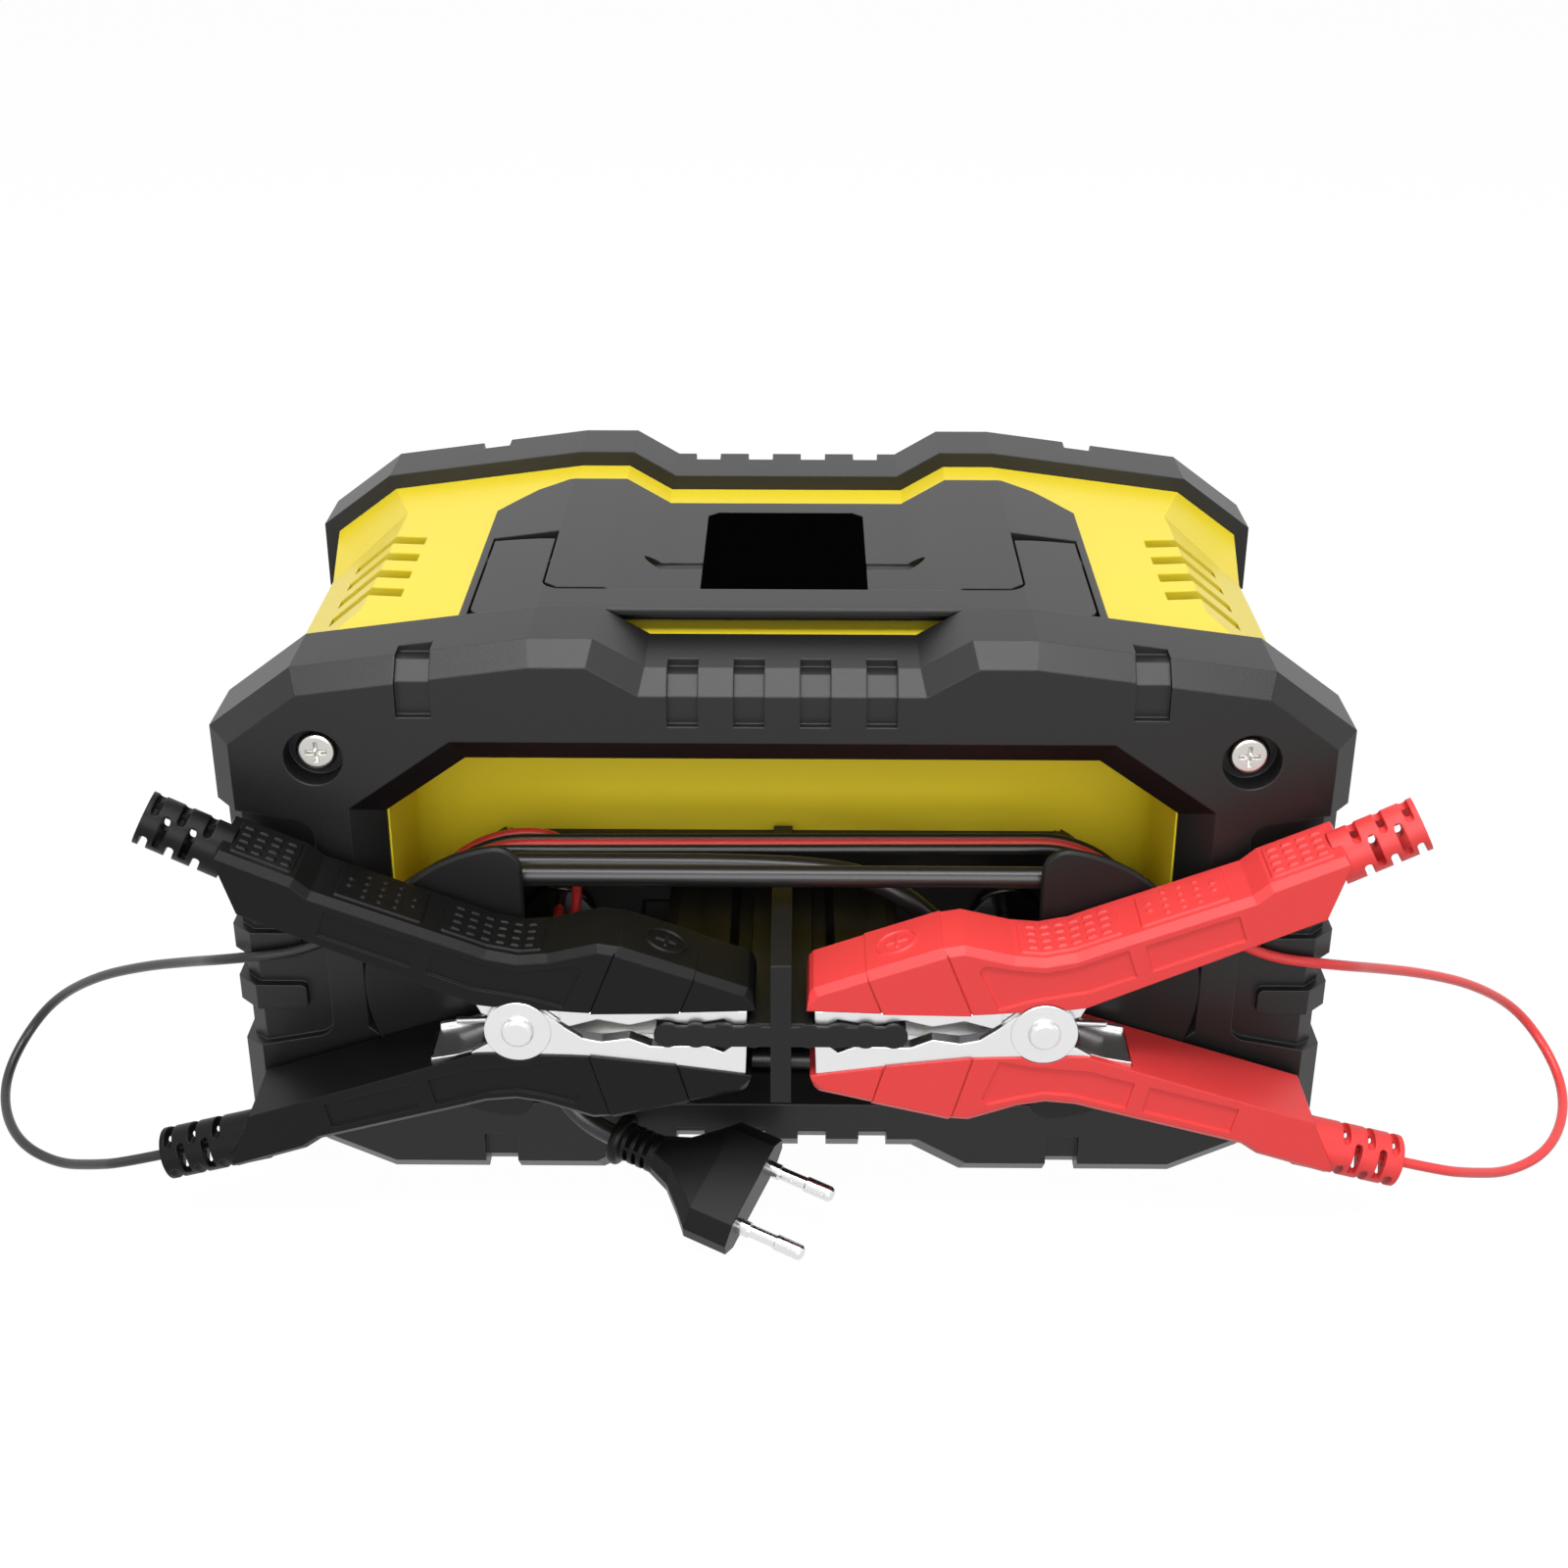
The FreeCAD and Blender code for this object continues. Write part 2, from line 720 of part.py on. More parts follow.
def self_gap(edges, dia, label):
    """Least gap of a tube to itself, on points a few diameters apart along it."""
    points, at = [], 0.0
    for e in edges:
        count = max(2, int(e.Length / 1.5))
        for k in range(count):
            points.append((at + e.Length * k / count,
                           e.valueAt(e.FirstParameter + (e.LastParameter - e.FirstParameter)
                                     * k / count)))
        at += e.Length
    least = 1e9
    for i, (s, p) in enumerate(points):
        for s2, q in points[i + 1:]:
            if s2 - s > 4 * dia:
                gap = p.distanceToPoint(q)
                least = min(least, gap)
    print("%s: least gap to itself %.2f" % (label, least - dia))


# Clamp profile about its pivot, jaws towards -X, upper lever; the lower one is its mirror
lever_top = [(-53.6, 9.9), (-52.6, 11.1), (-41.9, 15.0), (-24.0, 21.5), (-18.8, 22.4), (-7.4, 19.7),
             (-0.8, 19.2), (6.1, 20.6), (11.3, 22.7), (44.2, 35.4), (47.7, 38.5), (63.6, 45.5)]
lever_end = [(64.9, 43.5), (61.0, 30.3)]
lever_under = [(9.2, 7.1), (5.6, 6.6), (-7.2, 5.7), (-12.0, 5.3), (-16.8, 5.0), (-36.8, 5.3),
               (-54.2, 5.9)]
upper_teeth = [(-52.3, 1.0), (-49.5, 1.0), (-47.1, 3.4), (-39.3, 1.9), (-31.7, 3.3), (-25.5, 1.7),
               (-18.3, 3.2), (-10.9, 0.4)]
lower_teeth = [(-52.2, -3.3), (-49.5, -3.3), (-46.9, -5.5), (-42.6, -3.6), (-34.1, -4.0),
               (-30.4, -4.0), (-25.4, -1.9), (-19.0, -2.9), (-10.9, -1.2)]
upper_axis = ((64.0, 40.4), (81.85, 49.4))
lower_axis = ((63.0, -35.0), (86.6, -41.1))
turn = math.radians(lever_opening)


def lowered(points):
    return [(x * math.cos(turn) + z * math.sin(turn), -z * math.cos(turn) + x * math.sin(turn))
            for x, z in points]


def scaled(points):
    return [(clamp_x + x * clamp_scale, clamp_z + z * clamp_scale) for x, z in points]


def make_lever(points, open_side, plate_t, web_points):
    """Two side plates and a web, open between the jaws and the pivot, with a bevelled back edge."""
    solid = prism_y(scaled(points), clamp_front_y, clamp_back_y)
    ends = [p for p in scaled(web_points)]
    picked = []
    for e in solid.Edges:
        box_e = e.BoundBox
        flat = box_e.YLength < 1e-6
        mid = ((box_e.XMin + box_e.XMax) / 2, (box_e.ZMin + box_e.ZMax) / 2)
        for (x0, z0), (x1, z1) in zip(ends, ends[1:]):
            if flat and abs(mid[0] - (x0 + x1) / 2) < 1e-3 and abs(mid[1] - (z0 + z1) / 2) < 1e-3:
                picked.append(e)
    solid = solid.makeChamfer(lever_bevel, picked)
    up = -1 if open_side < 0 else 1
    line = [(x, z + up * lever_web * 1.08) for x, z in web_points if -50.0 < x < 59.0]
    left = line[0][1] - (line[0][0] + 50.4) * (line[1][1] - line[0][1]) / (line[1][0] - line[0][0])
    inside = [p for p in line if p[0] < lever_hollow_end]
    (x0, z0), (x1, z1) = inside[-1], line[len(inside)]
    right = z0 + (lever_hollow_end - x0) * (z1 - z0) / (x1 - x0)
    line = [(-50.4, left)] + inside + [(lever_hollow_end, right)]
    hollow = line + [(lever_hollow_end, up * 60.0), (-50.4, up * 60.0)]
    y0, y1 = clamp_front_y + plate_t, clamp_back_y - plate_t
    return solid.cut(prism_y(scaled(hollow), y0, y1))


def face_pads(points_list, depth_):
    pads = []
    for points in points_list:
        pads.append(prism_y(scaled(points), clamp_front_y - 1, clamp_front_y + depth_))
        pads.append(prism_y(scaled(points), clamp_back_y - depth_, clamp_back_y + 1))
    return pads


side_panels = [[(-10.6, 6.4), (-15.4, 16.2), (-14.2, 17.8), (-7.2, 16.6), (-0.8, 16.0), (5.4, 17.2),
                (17.6, 22.0), (19.9, 15.4), (9.6, 11.2), (-3.0, 8.8)],
               [(23.4, 16.8), (21.4, 23.2), (41.5, 31.0), (43.6, 24.9)]]
grooves = [[(-37.1, 5.0), (-36.5, 5.0), (-40.6, 15.8), (-41.2, 15.8)],
           [(-17.1, 5.0), (-16.5, 5.0), (-23.2, 22.0), (-23.8, 22.0)]]

def both_faces(points_or_radius, near, deep, centre=(0.0, 0.0)):
    """The same flat piece near both side faces, from near to deep below the face."""
    pieces = []
    for a, b in ((clamp_front_y + near, clamp_front_y + deep), (clamp_back_y - deep, clamp_back_y - near)):
        if isinstance(points_or_radius, list):
            pieces.append(prism_y(scaled(points_or_radius), a, b))
        else:
            (x, z), = scaled([centre])
            pieces.append(cyl_y(x, z, points_or_radius * clamp_scale, a, b))
    return pieces


# The levers leave room for the steel disc of the lower jaw
upper_points = lever_top + lever_end + lever_under
lower_points = lowered(upper_points)
disc_room = both_faces(ear_radius + ear_play, -1.0, lever_plate + ear_play)
upper = make_lever(upper_points, -1, lever_plate, lever_top)
upper = cut(upper, disc_room + face_pads(side_panels, 0.6) + face_pads(grooves, 0.4))
lower = make_lever(lower_points, 1, lever_plate, lowered(lever_top))
lower = cut(lower, disc_room + face_pads([lowered(p) for p in side_panels], 0.6)
            + face_pads([lowered(p) for p in grooves], 0.4))


def make_jaw(profile, floor_points, extra):
    """Two toothed side plates, the floor between them and what is added to them."""
    plates = both_faces(profile, steel_sink, jaw_plate + steel_sink)
    floor = prism_y(scaled(floor_points), clamp_front_y + lever_plate, clamp_back_y - lever_plate)
    return fuse(plates + [floor] + extra)


# Lower jaw: the disc in front, a neck to the teeth, a horn and a heel in the lower lever
lower_left = -49.2
lower_profile = [(lower_left, -11.4), (-51.9, -11.2)] + lower_teeth + [(-9.8, -4.0), (-9.8, -12.0),
                                                                  (lower_left, -12.0)]
neck = [(-4.4, 6.2), (-11.0, 0.7), (-14.5, -1.8), (-15.5, -6.5), (0.0, -7.0)]
low_horn = [(0.0, -7.0), (6.6, -3.4), (7.8, -4.0), (10.9, -5.9), (10.6, -6.6)]
heel = [(-11.5, -12.0), (10.0, -12.5), (heel_end, -13.0), (heel_end, -9.6), (14.5, -8.4), (9.5, -6.9),
        (8.0, -8.6), (-11.5, -10.5)]
heel_rims = both_faces([(9.0, -9.0), (heel_end, -11.0), (heel_end, -8.6), (14.5, -7.5), (10.0, -6.0)],
                       lever_plate, lever_plate + 1.2)
discs = both_faces(ear_radius, 0.0, lever_plate)
heel_block = prism_y(scaled(heel), clamp_front_y + lever_plate, clamp_back_y - lever_plate)
lower_jaw = make_jaw(lower_profile, [(lower_left, -12.0), (lower_left, -10.5), (-10.5, -10.5),
                                     (-10.5, -12.0)],
                     discs + both_faces(neck, steel_sink, lever_plate)
                     + both_faces(low_horn, steel_sink, lever_plate) + [heel_block] + heel_rims)
bore = cyl_y(clamp_x, clamp_z, clamp_pin, clamp_front_y - 1, clamp_back_y + 1)
lower_jaw = biggest(cut(lower_jaw, [lower, bore]))

# Upper jaw: its plates reach the pin behind the discs and end in a horn
inner_near = lever_plate + ear_play
inner_deep = jaw_plate + steel_sink
upper_profile = [(-52.3, 5.6)] + upper_teeth[:-1] + [(-11.8, 1.3), (-9.8, 2.7), (-9.8, 9.0), (-50.3, 9.0),
                                                     (-50.3, 5.6)]
inner_neck = [(-10.5, 2.2), (-10.5, 9.0), (-3.0, 7.0), (0.0, 0.0), (-5.0, -1.0)]
high_horn = [(0.0, 0.0), (4.0, 6.0), (6.1, 7.0), (7.4, 6.0), (9.7, 6.3), (8.3, 3.4)]
upper_jaw = make_jaw(upper_profile, [(-50.3, 7.5), (-50.3, 9.0), (-12.0, 9.0), (-12.0, 7.5)],
                     both_faces(inner_ear_radius, inner_near, inner_deep)
                     + both_faces(inner_neck, inner_near, inner_deep)
                     + both_faces(high_horn, inner_near, inner_deep))
loose_bore = cyl_y(clamp_x, clamp_z, clamp_pin + pin_fit, clamp_front_y - 1, clamp_back_y + 1)
upper_jaw = biggest(cut(upper_jaw, [upper, loose_bore]))


def clamp_point(x, z, y=None):
    return V(clamp_x + x * clamp_scale, clamp_mid_y if y is None else y, clamp_z + z * clamp_scale)


clamp_run = [clamp_point(66.0, -35.8), clamp_point(54.5, -29.6), clamp_point(39.0, -21.2),
             clamp_point(heel_end + 0.75, -11.4)]


def make_relief(axis, lever):
    """Hollow boot on a lever's end, slotted by turns above and below and on its two sides."""
    start, end = clamp_point(*axis[0]), clamp_point(*axis[1])
    way = unit(end - start)
    length = (end - start).Length
    r = relief_radius
    bored = (relief_slots + 0.6) * relief_step
    tools = [cyl_z(0, 0, relief_bore, length - bored, length + 1)]
    for k in range(relief_slots):
        z0 = length - (k + 0.4) * relief_step - relief_slot
        if k % 2:
            spans = [(-4.6, 3.0, -r - 1, -2.6), (-4.6, 3.0, 2.6, r + 1)]
        else:
            spans = [(1.0, r + 1, -r - 1, r + 1), (-r - 1, -4.0, -r - 1, r + 1)]
        for x0, x1, y0, y1 in spans:
            slot = box(x0, x1, y0, y1, z0, z0 + relief_slot)
            round_ends = [e for e in slot.Edges if e.BoundBox.YLength > 1 and abs(e.BoundBox.XMin) < r]
            tools.append(slot.makeFillet(relief_slot * 0.45, round_ends))
    body = cut(cyl_z(0, 0, r, 0, length), tools)
    side = V(0, 1, 0)
    body.Placement = FreeCAD.Placement(start, FreeCAD.Rotation(side.cross(way), side, way, "ZYX"))
    return cut(body, [lever])


# Way of the lead through the relief and along the lower lever to the strap
relief_end = clamp_point(*lower_axis[1])
relief_way = unit(relief_end - clamp_point(*lower_axis[0]))
way_edges, way_least = route_edges([relief_end + relief_way * 12.0] + clamp_run)
channel, channel_wire = tube(way_edges, lead_dia / 2 + lead_play, "way of the lead", way_least)
lower = biggest(cut(lower, [channel]))
lower_relief = cut(make_relief(lower_axis, lower), [channel])
upper_relief = make_relief(upper_axis, upper)

lower_relief, upper_relief = biggest(lower_relief), biggest(upper_relief)
pin = fuse([cyl_y(clamp_x, clamp_z, clamp_pin, clamp_front_y, clamp_back_y),
            cyl_y(clamp_x, clamp_z, clamp_pin_dome, clamp_front_y - 1.4, clamp_front_y)])
pin = pin.makeFillet(1.2, [e for e in pin.Edges if e.BoundBox.YMax < clamp_front_y - 1.3])


# Torsion spring on the clamp's pin, one unbroken wire with a leg into each lever
def make_spring():
    reach_u, reach_l = (17.0, 13.2), (17.5, -6.6)
    r = spring_radius
    y0 = clamp_mid_y - 3.8

    def tangent_angle(p, side):
        return math.atan2(p[1], p[0]) + side * math.acos(r / math.hypot(*p))

    a0 = tangent_angle(reach_u, 1)
    a1 = tangent_angle(reach_l, -1) + 8 * math.pi
    steps = 14
    nodes = []
    rise = spring_pitch / (2 * math.pi)
    for k in range(steps + 1):
        a = a0 + (a1 - a0) * k / steps
        p = V(clamp_x + r * math.cos(a), y0 + rise * (a - a0), clamp_z + r * math.sin(a))
        nodes.append((p, unit(V(-r * math.sin(a), rise, r * math.cos(a)))))
    p0, t0 = nodes[0]
    p1, t1 = nodes[-1]
    legs = [math.hypot(*reach) * 0.9 for reach in (reach_u, reach_l)]
    nodes = [(p0 - t0 * legs[0], t0)] + nodes + [(p1 + t1 * legs[1], t1)]
    edges, least = node_edges(nodes)
    solid, wire = tube(edges, spring_wire / 2, "clamp spring", least)
    self_gap(edges, spring_wire, "clamp spring")
    return solid


spring = make_spring()
for colour, place in (("red", lambda s: s), ("black", flip_x)):
    save(colour + "_upper_lever", place(upper))
    save(colour + "_lower_lever", place(lower))
    save(colour + "_upper_jaw", place(upper_jaw))
    save(colour + "_lower_jaw", place(lower_jaw))
    save(colour + "_clamp_pin", place(pin))
    save(colour + "_spring", place(spring))
    save(colour + "_upper_relief", place(upper_relief))
    save(colour + "_lower_relief", place(lower_relief))

# Cross that the clamps bite on; the tongues' edges follow the teeth
tongue_rel = [(-clamp_x, tongue_up), (-52.8, tongue_up), (-52.6, 0.7), (-49.4, 0.7),
              (-47.3, tongue_up), (-46.3, 2.9), (-39.3, 1.6), (-34.5, 2.4), (-31.6, 1.2),
              (-31.4, 0.0), (-31.6, -1.6), (-33.0, -tongue_down + 0.2), (-42.6, -3.2),
              (-46.9, -tongue_down), (-clamp_x, -tongue_down)]
tongue = prism_y(scaled(tongue_rel), cross_front_y + tongue_face / 2, bay_back_face)
mid_z = clamp_z + (tongue_up - tongue_down) / 2
flat_low, flat_high = clamp_z - tongue_down + 0.45, clamp_z + tongue_up - 0.7
bumps = [box(0, bump_count * bump_pitch, cross_front_y, cross_front_y + tongue_face, flat_low, flat_high)]
for k in range(bump_count):
    bumps.append(cyl_y((k + 1) * bump_pitch - 0.2, mid_z, bump_radius, cross_front_y,
                       cross_front_y + tongue_face))
tongue = fuse([tongue] + bumps)
rib = box(-rib_thick / 2, rib_thick / 2, cross_front_y, bay_back_face, rib_low_z, rib_high_z)
holder = fuse([rib, tongue, flip_x(tongue)])
save("clamp_holder", holder)

# Cords
cx, cz = post_x, post_z


def wound(radius, first, count, y, pitch):
    """Nodes along the posts, top run leftwards, from corner number first, pitch for each turn."""
    spots = [(-cx, cz + radius, -1, 0), (-cx - radius, cz, 0, -1), (-cx, cz - radius, 1, 0),
             (cx, cz - radius, 1, 0), (cx + radius, cz, 0, 1), (cx, cz + radius, -1, 0)]
    quarter = math.pi * radius / 2
    runs = [quarter, quarter, 2 * cx, quarter, quarter, 2 * cx]
    loop = sum(runs)
    nodes = []
    for k in range(first, first + count):
        x, z, tx, tz = spots[k % 6]
        drift = pitch / loop
        nodes.append((V(x, y, z), unit(V(tx, -drift, tz))))
        y -= drift * runs[k % 6]
    return nodes


end_y = bay_wall_y + wall
loop_len = 2 * math.pi * lead_turn + 4 * cx
over_top = 2 * cx + math.pi * lead_turn


def lead_in(z):
    x = -grommet_x
    return [(V(x, end_y, z), V(0, -1, 0)), (V(x, bay_back_face - 3.0, z), V(0, -1, 0))]


# Black: out of the lower bore, down to the bottom run, then round to the upper left corner
black_nodes = lead_in(grommet_z - lead_bore_rise)
black_nodes += [(V(-38.4, -57.5, 35.2), unit(V(1.24, 0.43, -0.72))),
                (V(-21.0, lead_first_y + lead_pitch * (cx + 21.0) / loop_len, cz - lead_turn),
                 unit(V(1, -lead_pitch / loop_len, 0)))]
black_nodes += wound(lead_turn, 3, 10, lead_first_y, lead_pitch)
corner = black_nodes[-1]

# Free part of a lead, left hand, from the bay to the clamp
over_edge = [V(-112.3, -84.85, 65.23), V(-131.7, -84.8, 62.93), V(-143.6, -71.0, 54.2),
             V(-159.7, -57.0, 44.56), V(-177.3, -43.0, 33.04), V(-193.7, -30.0, 18.64),
             V(-202.8, -30.52, 8.0), V(-205.5, -42.23, 2.4), V(-201.1, -58.16, lead_dia / 2),
             V(-192.2, -72.71, 1.3), V(-180.3, -80.78, 1.35), V(-167.7, -90.0, 7.78)]
into_clamp = [V(-p.x, p.y, p.z) for p in [relief_end + relief_way * 10.0] + clamp_run]


def flipped(points):
    return [V(-p.x, p.y, p.z) for p in points]


black_route = [corner[0], corner[0] + corner[1] * 12.5, V(-85.5, -76.5, 81.0),
               V(-94.6, -82.5, 75.6), V(-99.0, -84.95, 73.0)] + over_edge + into_clamp
edges, r0 = node_edges(black_nodes)
more, r1 = route_edges(black_route)
black_lead, wire = tube(edges + more, lead_dia / 2, "black lead", min(r0, r1))
self_gap(edges + more, lead_dia, "black lead")
save("black_lead", black_lead)

# Red: out of the upper bore, up to the top run, then round to the right side and up over
red_nodes = lead_in(grommet_z + lead_bore_rise)
red_nodes += [(V(-50.4, -58.9, 68.1), unit(V(0.02, -0.15, 1.8)))]
red_nodes += wound(lead_turn, 6, 11, lead_first_y - lead_pitch * over_top / loop_len + lead_pitch / 2,
                   lead_pitch)
corner = red_nodes[-1]
red_route = [corner[0], corner[0] + corner[1] * 9.0, V(91.1, -78.3, 72.4), V(94.6, -82.7, 75.0),
             V(99.0, -84.95, 74.6)] + flipped(over_edge + into_clamp)
edges, r0 = node_edges(red_nodes)
more, r1 = route_edges(red_route)
red_lead, wire = tube(edges + more, lead_dia / 2, "red lead", min(r0, r1))
self_gap(edges + more, lead_dia, "red lead")
save("red_lead", red_lead)

# Mains cord: out of the right bore, up to the top run, round twice and out over the lower edge
heading = unit(plug_face_at - plug_ring_at)
step = mains_pitch
mains_nodes = [(V(grommet_x, end_y, grommet_z), V(0, -1, 0)),
               (V(grommet_x, bay_back_face - 5.0, grommet_z), V(0, -1, 0)),
               (V(32.6, -74.4, 72.0), unit(V(-0.72, 0.07, 0.66))),
               (V(-5.0, mains_back_y, cz + mains_turn), V(-1, 0, 0))]
spots = [(-cx, cz + mains_turn, -1, 0), (-cx - mains_turn, cz, 0, -1),
         (-cx, cz - mains_turn, 1, 0), (cx, cz - mains_turn, 1, 0),
         (cx + mains_turn, cz, 0, 1), (cx, cz + mains_turn, -1, 0),
         (-cx, cz + mains_turn, -1, 0), (-cx - mains_turn, cz, 0, -1)]
for k, (x, z, tx, tz) in enumerate(spots):
    y = mains_back_y if k < 3 else mains_back_y - step
    mains_nodes.append((V(x, y, z), V(tx, 0, tz)))
tail_at = plug_ring_at - heading * 1.9
mains_nodes += [(V(-69.9, mains_back_y - step + 0.2, 31.6), unit(V(0.99, 0, -0.16))),
                (V(-54.9, -83.5, 26.5), unit(V(0.72, -0.58, -0.38))),
                (tail_at, heading),
                (plug_ring_at, heading)]
edges, r0 = node_edges(mains_nodes)
mains_cord, wire = tube(edges, mains_dia / 2, "mains cord", r0)
self_gap(edges, mains_dia, "mains cord")
save("mains_cord", mains_cord)

# Plug: ring, slotted neck, flared flat body with bevelled sides and two pins, built along +X
lean = math.radians(plug_lean)
side_way = unit(V(0, -math.sin(lean), math.cos(lean)).cross(heading))
up_way = heading.cross(side_way)
reach = (plug_face_at - plug_ring_at).Length


def plug_section(x, wide, flat, thick, edge):
    """Eight-sided section: two flat faces, two narrow sides and bevels between them."""
    corners = [(flat, thick), (wide, edge), (wide, -edge), (flat, -thick)]
    corners += [(-y, -z) for y, z in corners]
    ring_ = [V(x, y / 2, z / 2) for y, z in corners]
    return Part.makePolygon(ring_ + ring_[:1])


ring = cyl_x(0, 0, 6.4, 0, 3.0)
ring = ring.makeFillet(1.2, [e for e in ring.Edges if e.BoundBox.XLength < 0.01])
strain = cyl_x(0, 0, plug_neck / 2, 2.0, plug_neck_end + 0.5)
strain_cuts = []
for k in range(3):
    x = 4.0 + k * 2.3
    for y0, y1 in ((-9.0, -2.6), (2.6, 9.0)):
        strain_cuts.append(box(x, x + 1.2, y0, y1, -3.0, 3.0))
    for z0, z1 in ((-9.0, -3.3), (3.3, 9.0)):
        strain_cuts.append(box(x, x + 1.2, -3.2, 3.2, z0, z1))
round_side = plug_neck * 0.9239
square = [(plug_neck * 0.3827, round_side), (round_side, plug_neck * 0.3827)]
flare = []
for t in (0.0, 0.4, 0.75, 1.0):
    grow = t * t * (1.6 - 0.6 * t)
    x = plug_neck_end + (plug_wide_at - plug_neck_end) * t
    flare.append(plug_section(x, round_side + (plug_width - round_side) * grow,
                              square[0][0] + (plug_flat - square[0][0]) * grow,
                              round_side + (plug_thick - round_side) * t,
                              square[1][1] + (plug_edge - square[1][1]) * t))
plug_body = Part.makeLoft(flare, True, True)
block = Part.makeLoft([plug_section(plug_wide_at, plug_width, plug_flat, plug_thick, plug_edge),
                       plug_section(reach, plug_width, plug_flat, plug_thick, plug_edge)], True, True)
plug_body = fuse([ring, cut(strain, strain_cuts), plug_body, block])
pin_holes = []
pins = []
tip_from = reach + plug_pin_length * 0.58
for sign in (-1, 1):
    y = sign * plug_pin_span / 2
    pin_holes.append(cyl_x(y, 0, plug_pin_dia / 2, reach - 8, reach + 1))
    one = cyl_x(y, 0, plug_pin_dia / 2, reach - 8, reach + plug_pin_collar)
    tip = cyl_x(y, 0, plug_pin_dia / 2, tip_from, reach + plug_pin_length)
    tip = tip.makeFillet(1.3, [e for e in tip.Edges if e.BoundBox.XMin > reach + plug_pin_length - 0.1])
    pins.append(fuse([one, cyl_x(y, 0, plug_pin_dia / 2 - 0.35, reach, tip_from + 1), tip]))
plug_body = cut(plug_body, pin_holes)
lay = FreeCAD.Placement(plug_ring_at, FreeCAD.Rotation(heading, side_way, up_way, "XYZ"))
for name, shape in (("plug_body", plug_body), ("plug_pins", Part.makeCompound(pins))):
    shape = shape.copy()
    shape.Placement = lay
    save(name, shape)

# Saddle panel with the handle well, and the plain label
plate_top = inset(guard_outline, saddle_step)
plate_low = shell_outline
far = saddle_far_y
plan_half = [(58.0, far), (65.8, far - 5.9), (70.2, far - 12.0), (saddle_half, far - 19.6),
             (saddle_half, shell_end)]
plan = plan_half + [(-x, y) for x, y in reversed(plan_half)]
under_top = prism_y(plate_top, shell_end, far)
plate = cut(under_top, [prism_y(plate_low, shell_end - 1, far + 1)])
plate = plate.common(prism_z(plan, 60.0, height + 1))
saddle = fuse([plate, tub_out.common(under_top)])
well = [prism_z(well_plan, well_floor, height + 5),
        box(-collar_half - joint_gap, collar_half + joint_gap, front, collar_back_y + joint_gap, 0, height)]
label_near_y = well_bar + label_gap
label_z = height - valley_drop - saddle_step - label_sink
label_plan = [(-label_half, label_near_y), (-label_half, label_far_y - 3), (-label_half + 3, label_far_y),
              (label_half - 3, label_far_y), (label_half, label_far_y - 3), (label_half, label_near_y)]
pivot_holes = [cyl_x(pivot_y, pivot_z, handle_pin, -(well_out + 1.2), well_out + 1.2)]
saddle = cut(saddle, well + [prism_z(label_plan, label_z, height)] + pivot_holes)
save("saddle_panel", saddle)
save("label_plate", prism_z(label_plan, label_z, label_z + label_thick))

# Carry handle
handle_plan = [(-handle_out, handle_near_y), (-handle_out, 0), (-handle_in, 0),
               (-handle_in, bar_far_y), (handle_in, bar_far_y), (handle_in, 0),
               (handle_out, 0), (handle_out, handle_near_y)]
tall = prism_z(handle_plan, 100.0, height + 10)
uprights = [e for e in tall.Edges if e.BoundBox.ZLength > 20]
inner_edges = [e for e in uprights if abs(abs(e.BoundBox.XMin) - handle_in) < 0.01
               and abs(e.BoundBox.YMin - bar_far_y) < 0.01]
outer_edges = [e for e in uprights if abs(abs(e.BoundBox.XMin) - handle_out) < 0.01
               and e.BoundBox.YMin < handle_near_y + 0.01]
tall = tall.makeFillet(handle_fillet, inner_edges).makeFillet(handle_corner, outer_edges)
t0, t1 = top_z(handle_out, handle_step), top_z(crown_out, handle_step)
profile = [(-handle_out, t0), (-crown_out, t1), (crown_out, t1), (handle_out, t0),
           (handle_out, arm_under_z), (handle_in - 2.0, arm_under_z), (handle_in - 5.0, bar_under_z),
           (5.0 - handle_in, bar_under_z), (2.0 - handle_in, arm_under_z),
           (-handle_out, arm_under_z)]
side_view = fuse([box(-width, width, handle_near_y, pivot_y, 100, height + 10),
                  cyl_x(pivot_y, pivot_z, handle_tail, -width, width)])
handle = tall.common(prism_y(profile, -depth, depth)).common(side_view)
lip = [e for e in handle.Edges if e.BoundBox.YMax < handle_near_y + 0.01 and e.BoundBox.XLength > crown_out]
handle = handle.makeFillet(0.7, lip[-1:] if lip[-1].BoundBox.ZMin > bar_under_z + 5 else lip[:1])
under_lip = box(-collar_half - handle_gap, collar_half + handle_gap, handle_near_y - 1,
                bar_far_y - bar_wall, 0, t1 - bar_skin)
handle = cut(handle, [cyl_x(pivot_y, pivot_z, handle_pin + pin_fit, -width, width), under_lip])
save("carry_handle", handle)
pin_out = well_out + 1.2
handle_stub = cyl_x(pivot_y, pivot_z, handle_pin, well_in - tub_wall, pin_out)
save("handle_pins", Part.makeCompound([handle_stub, flip_x(handle_stub)]))

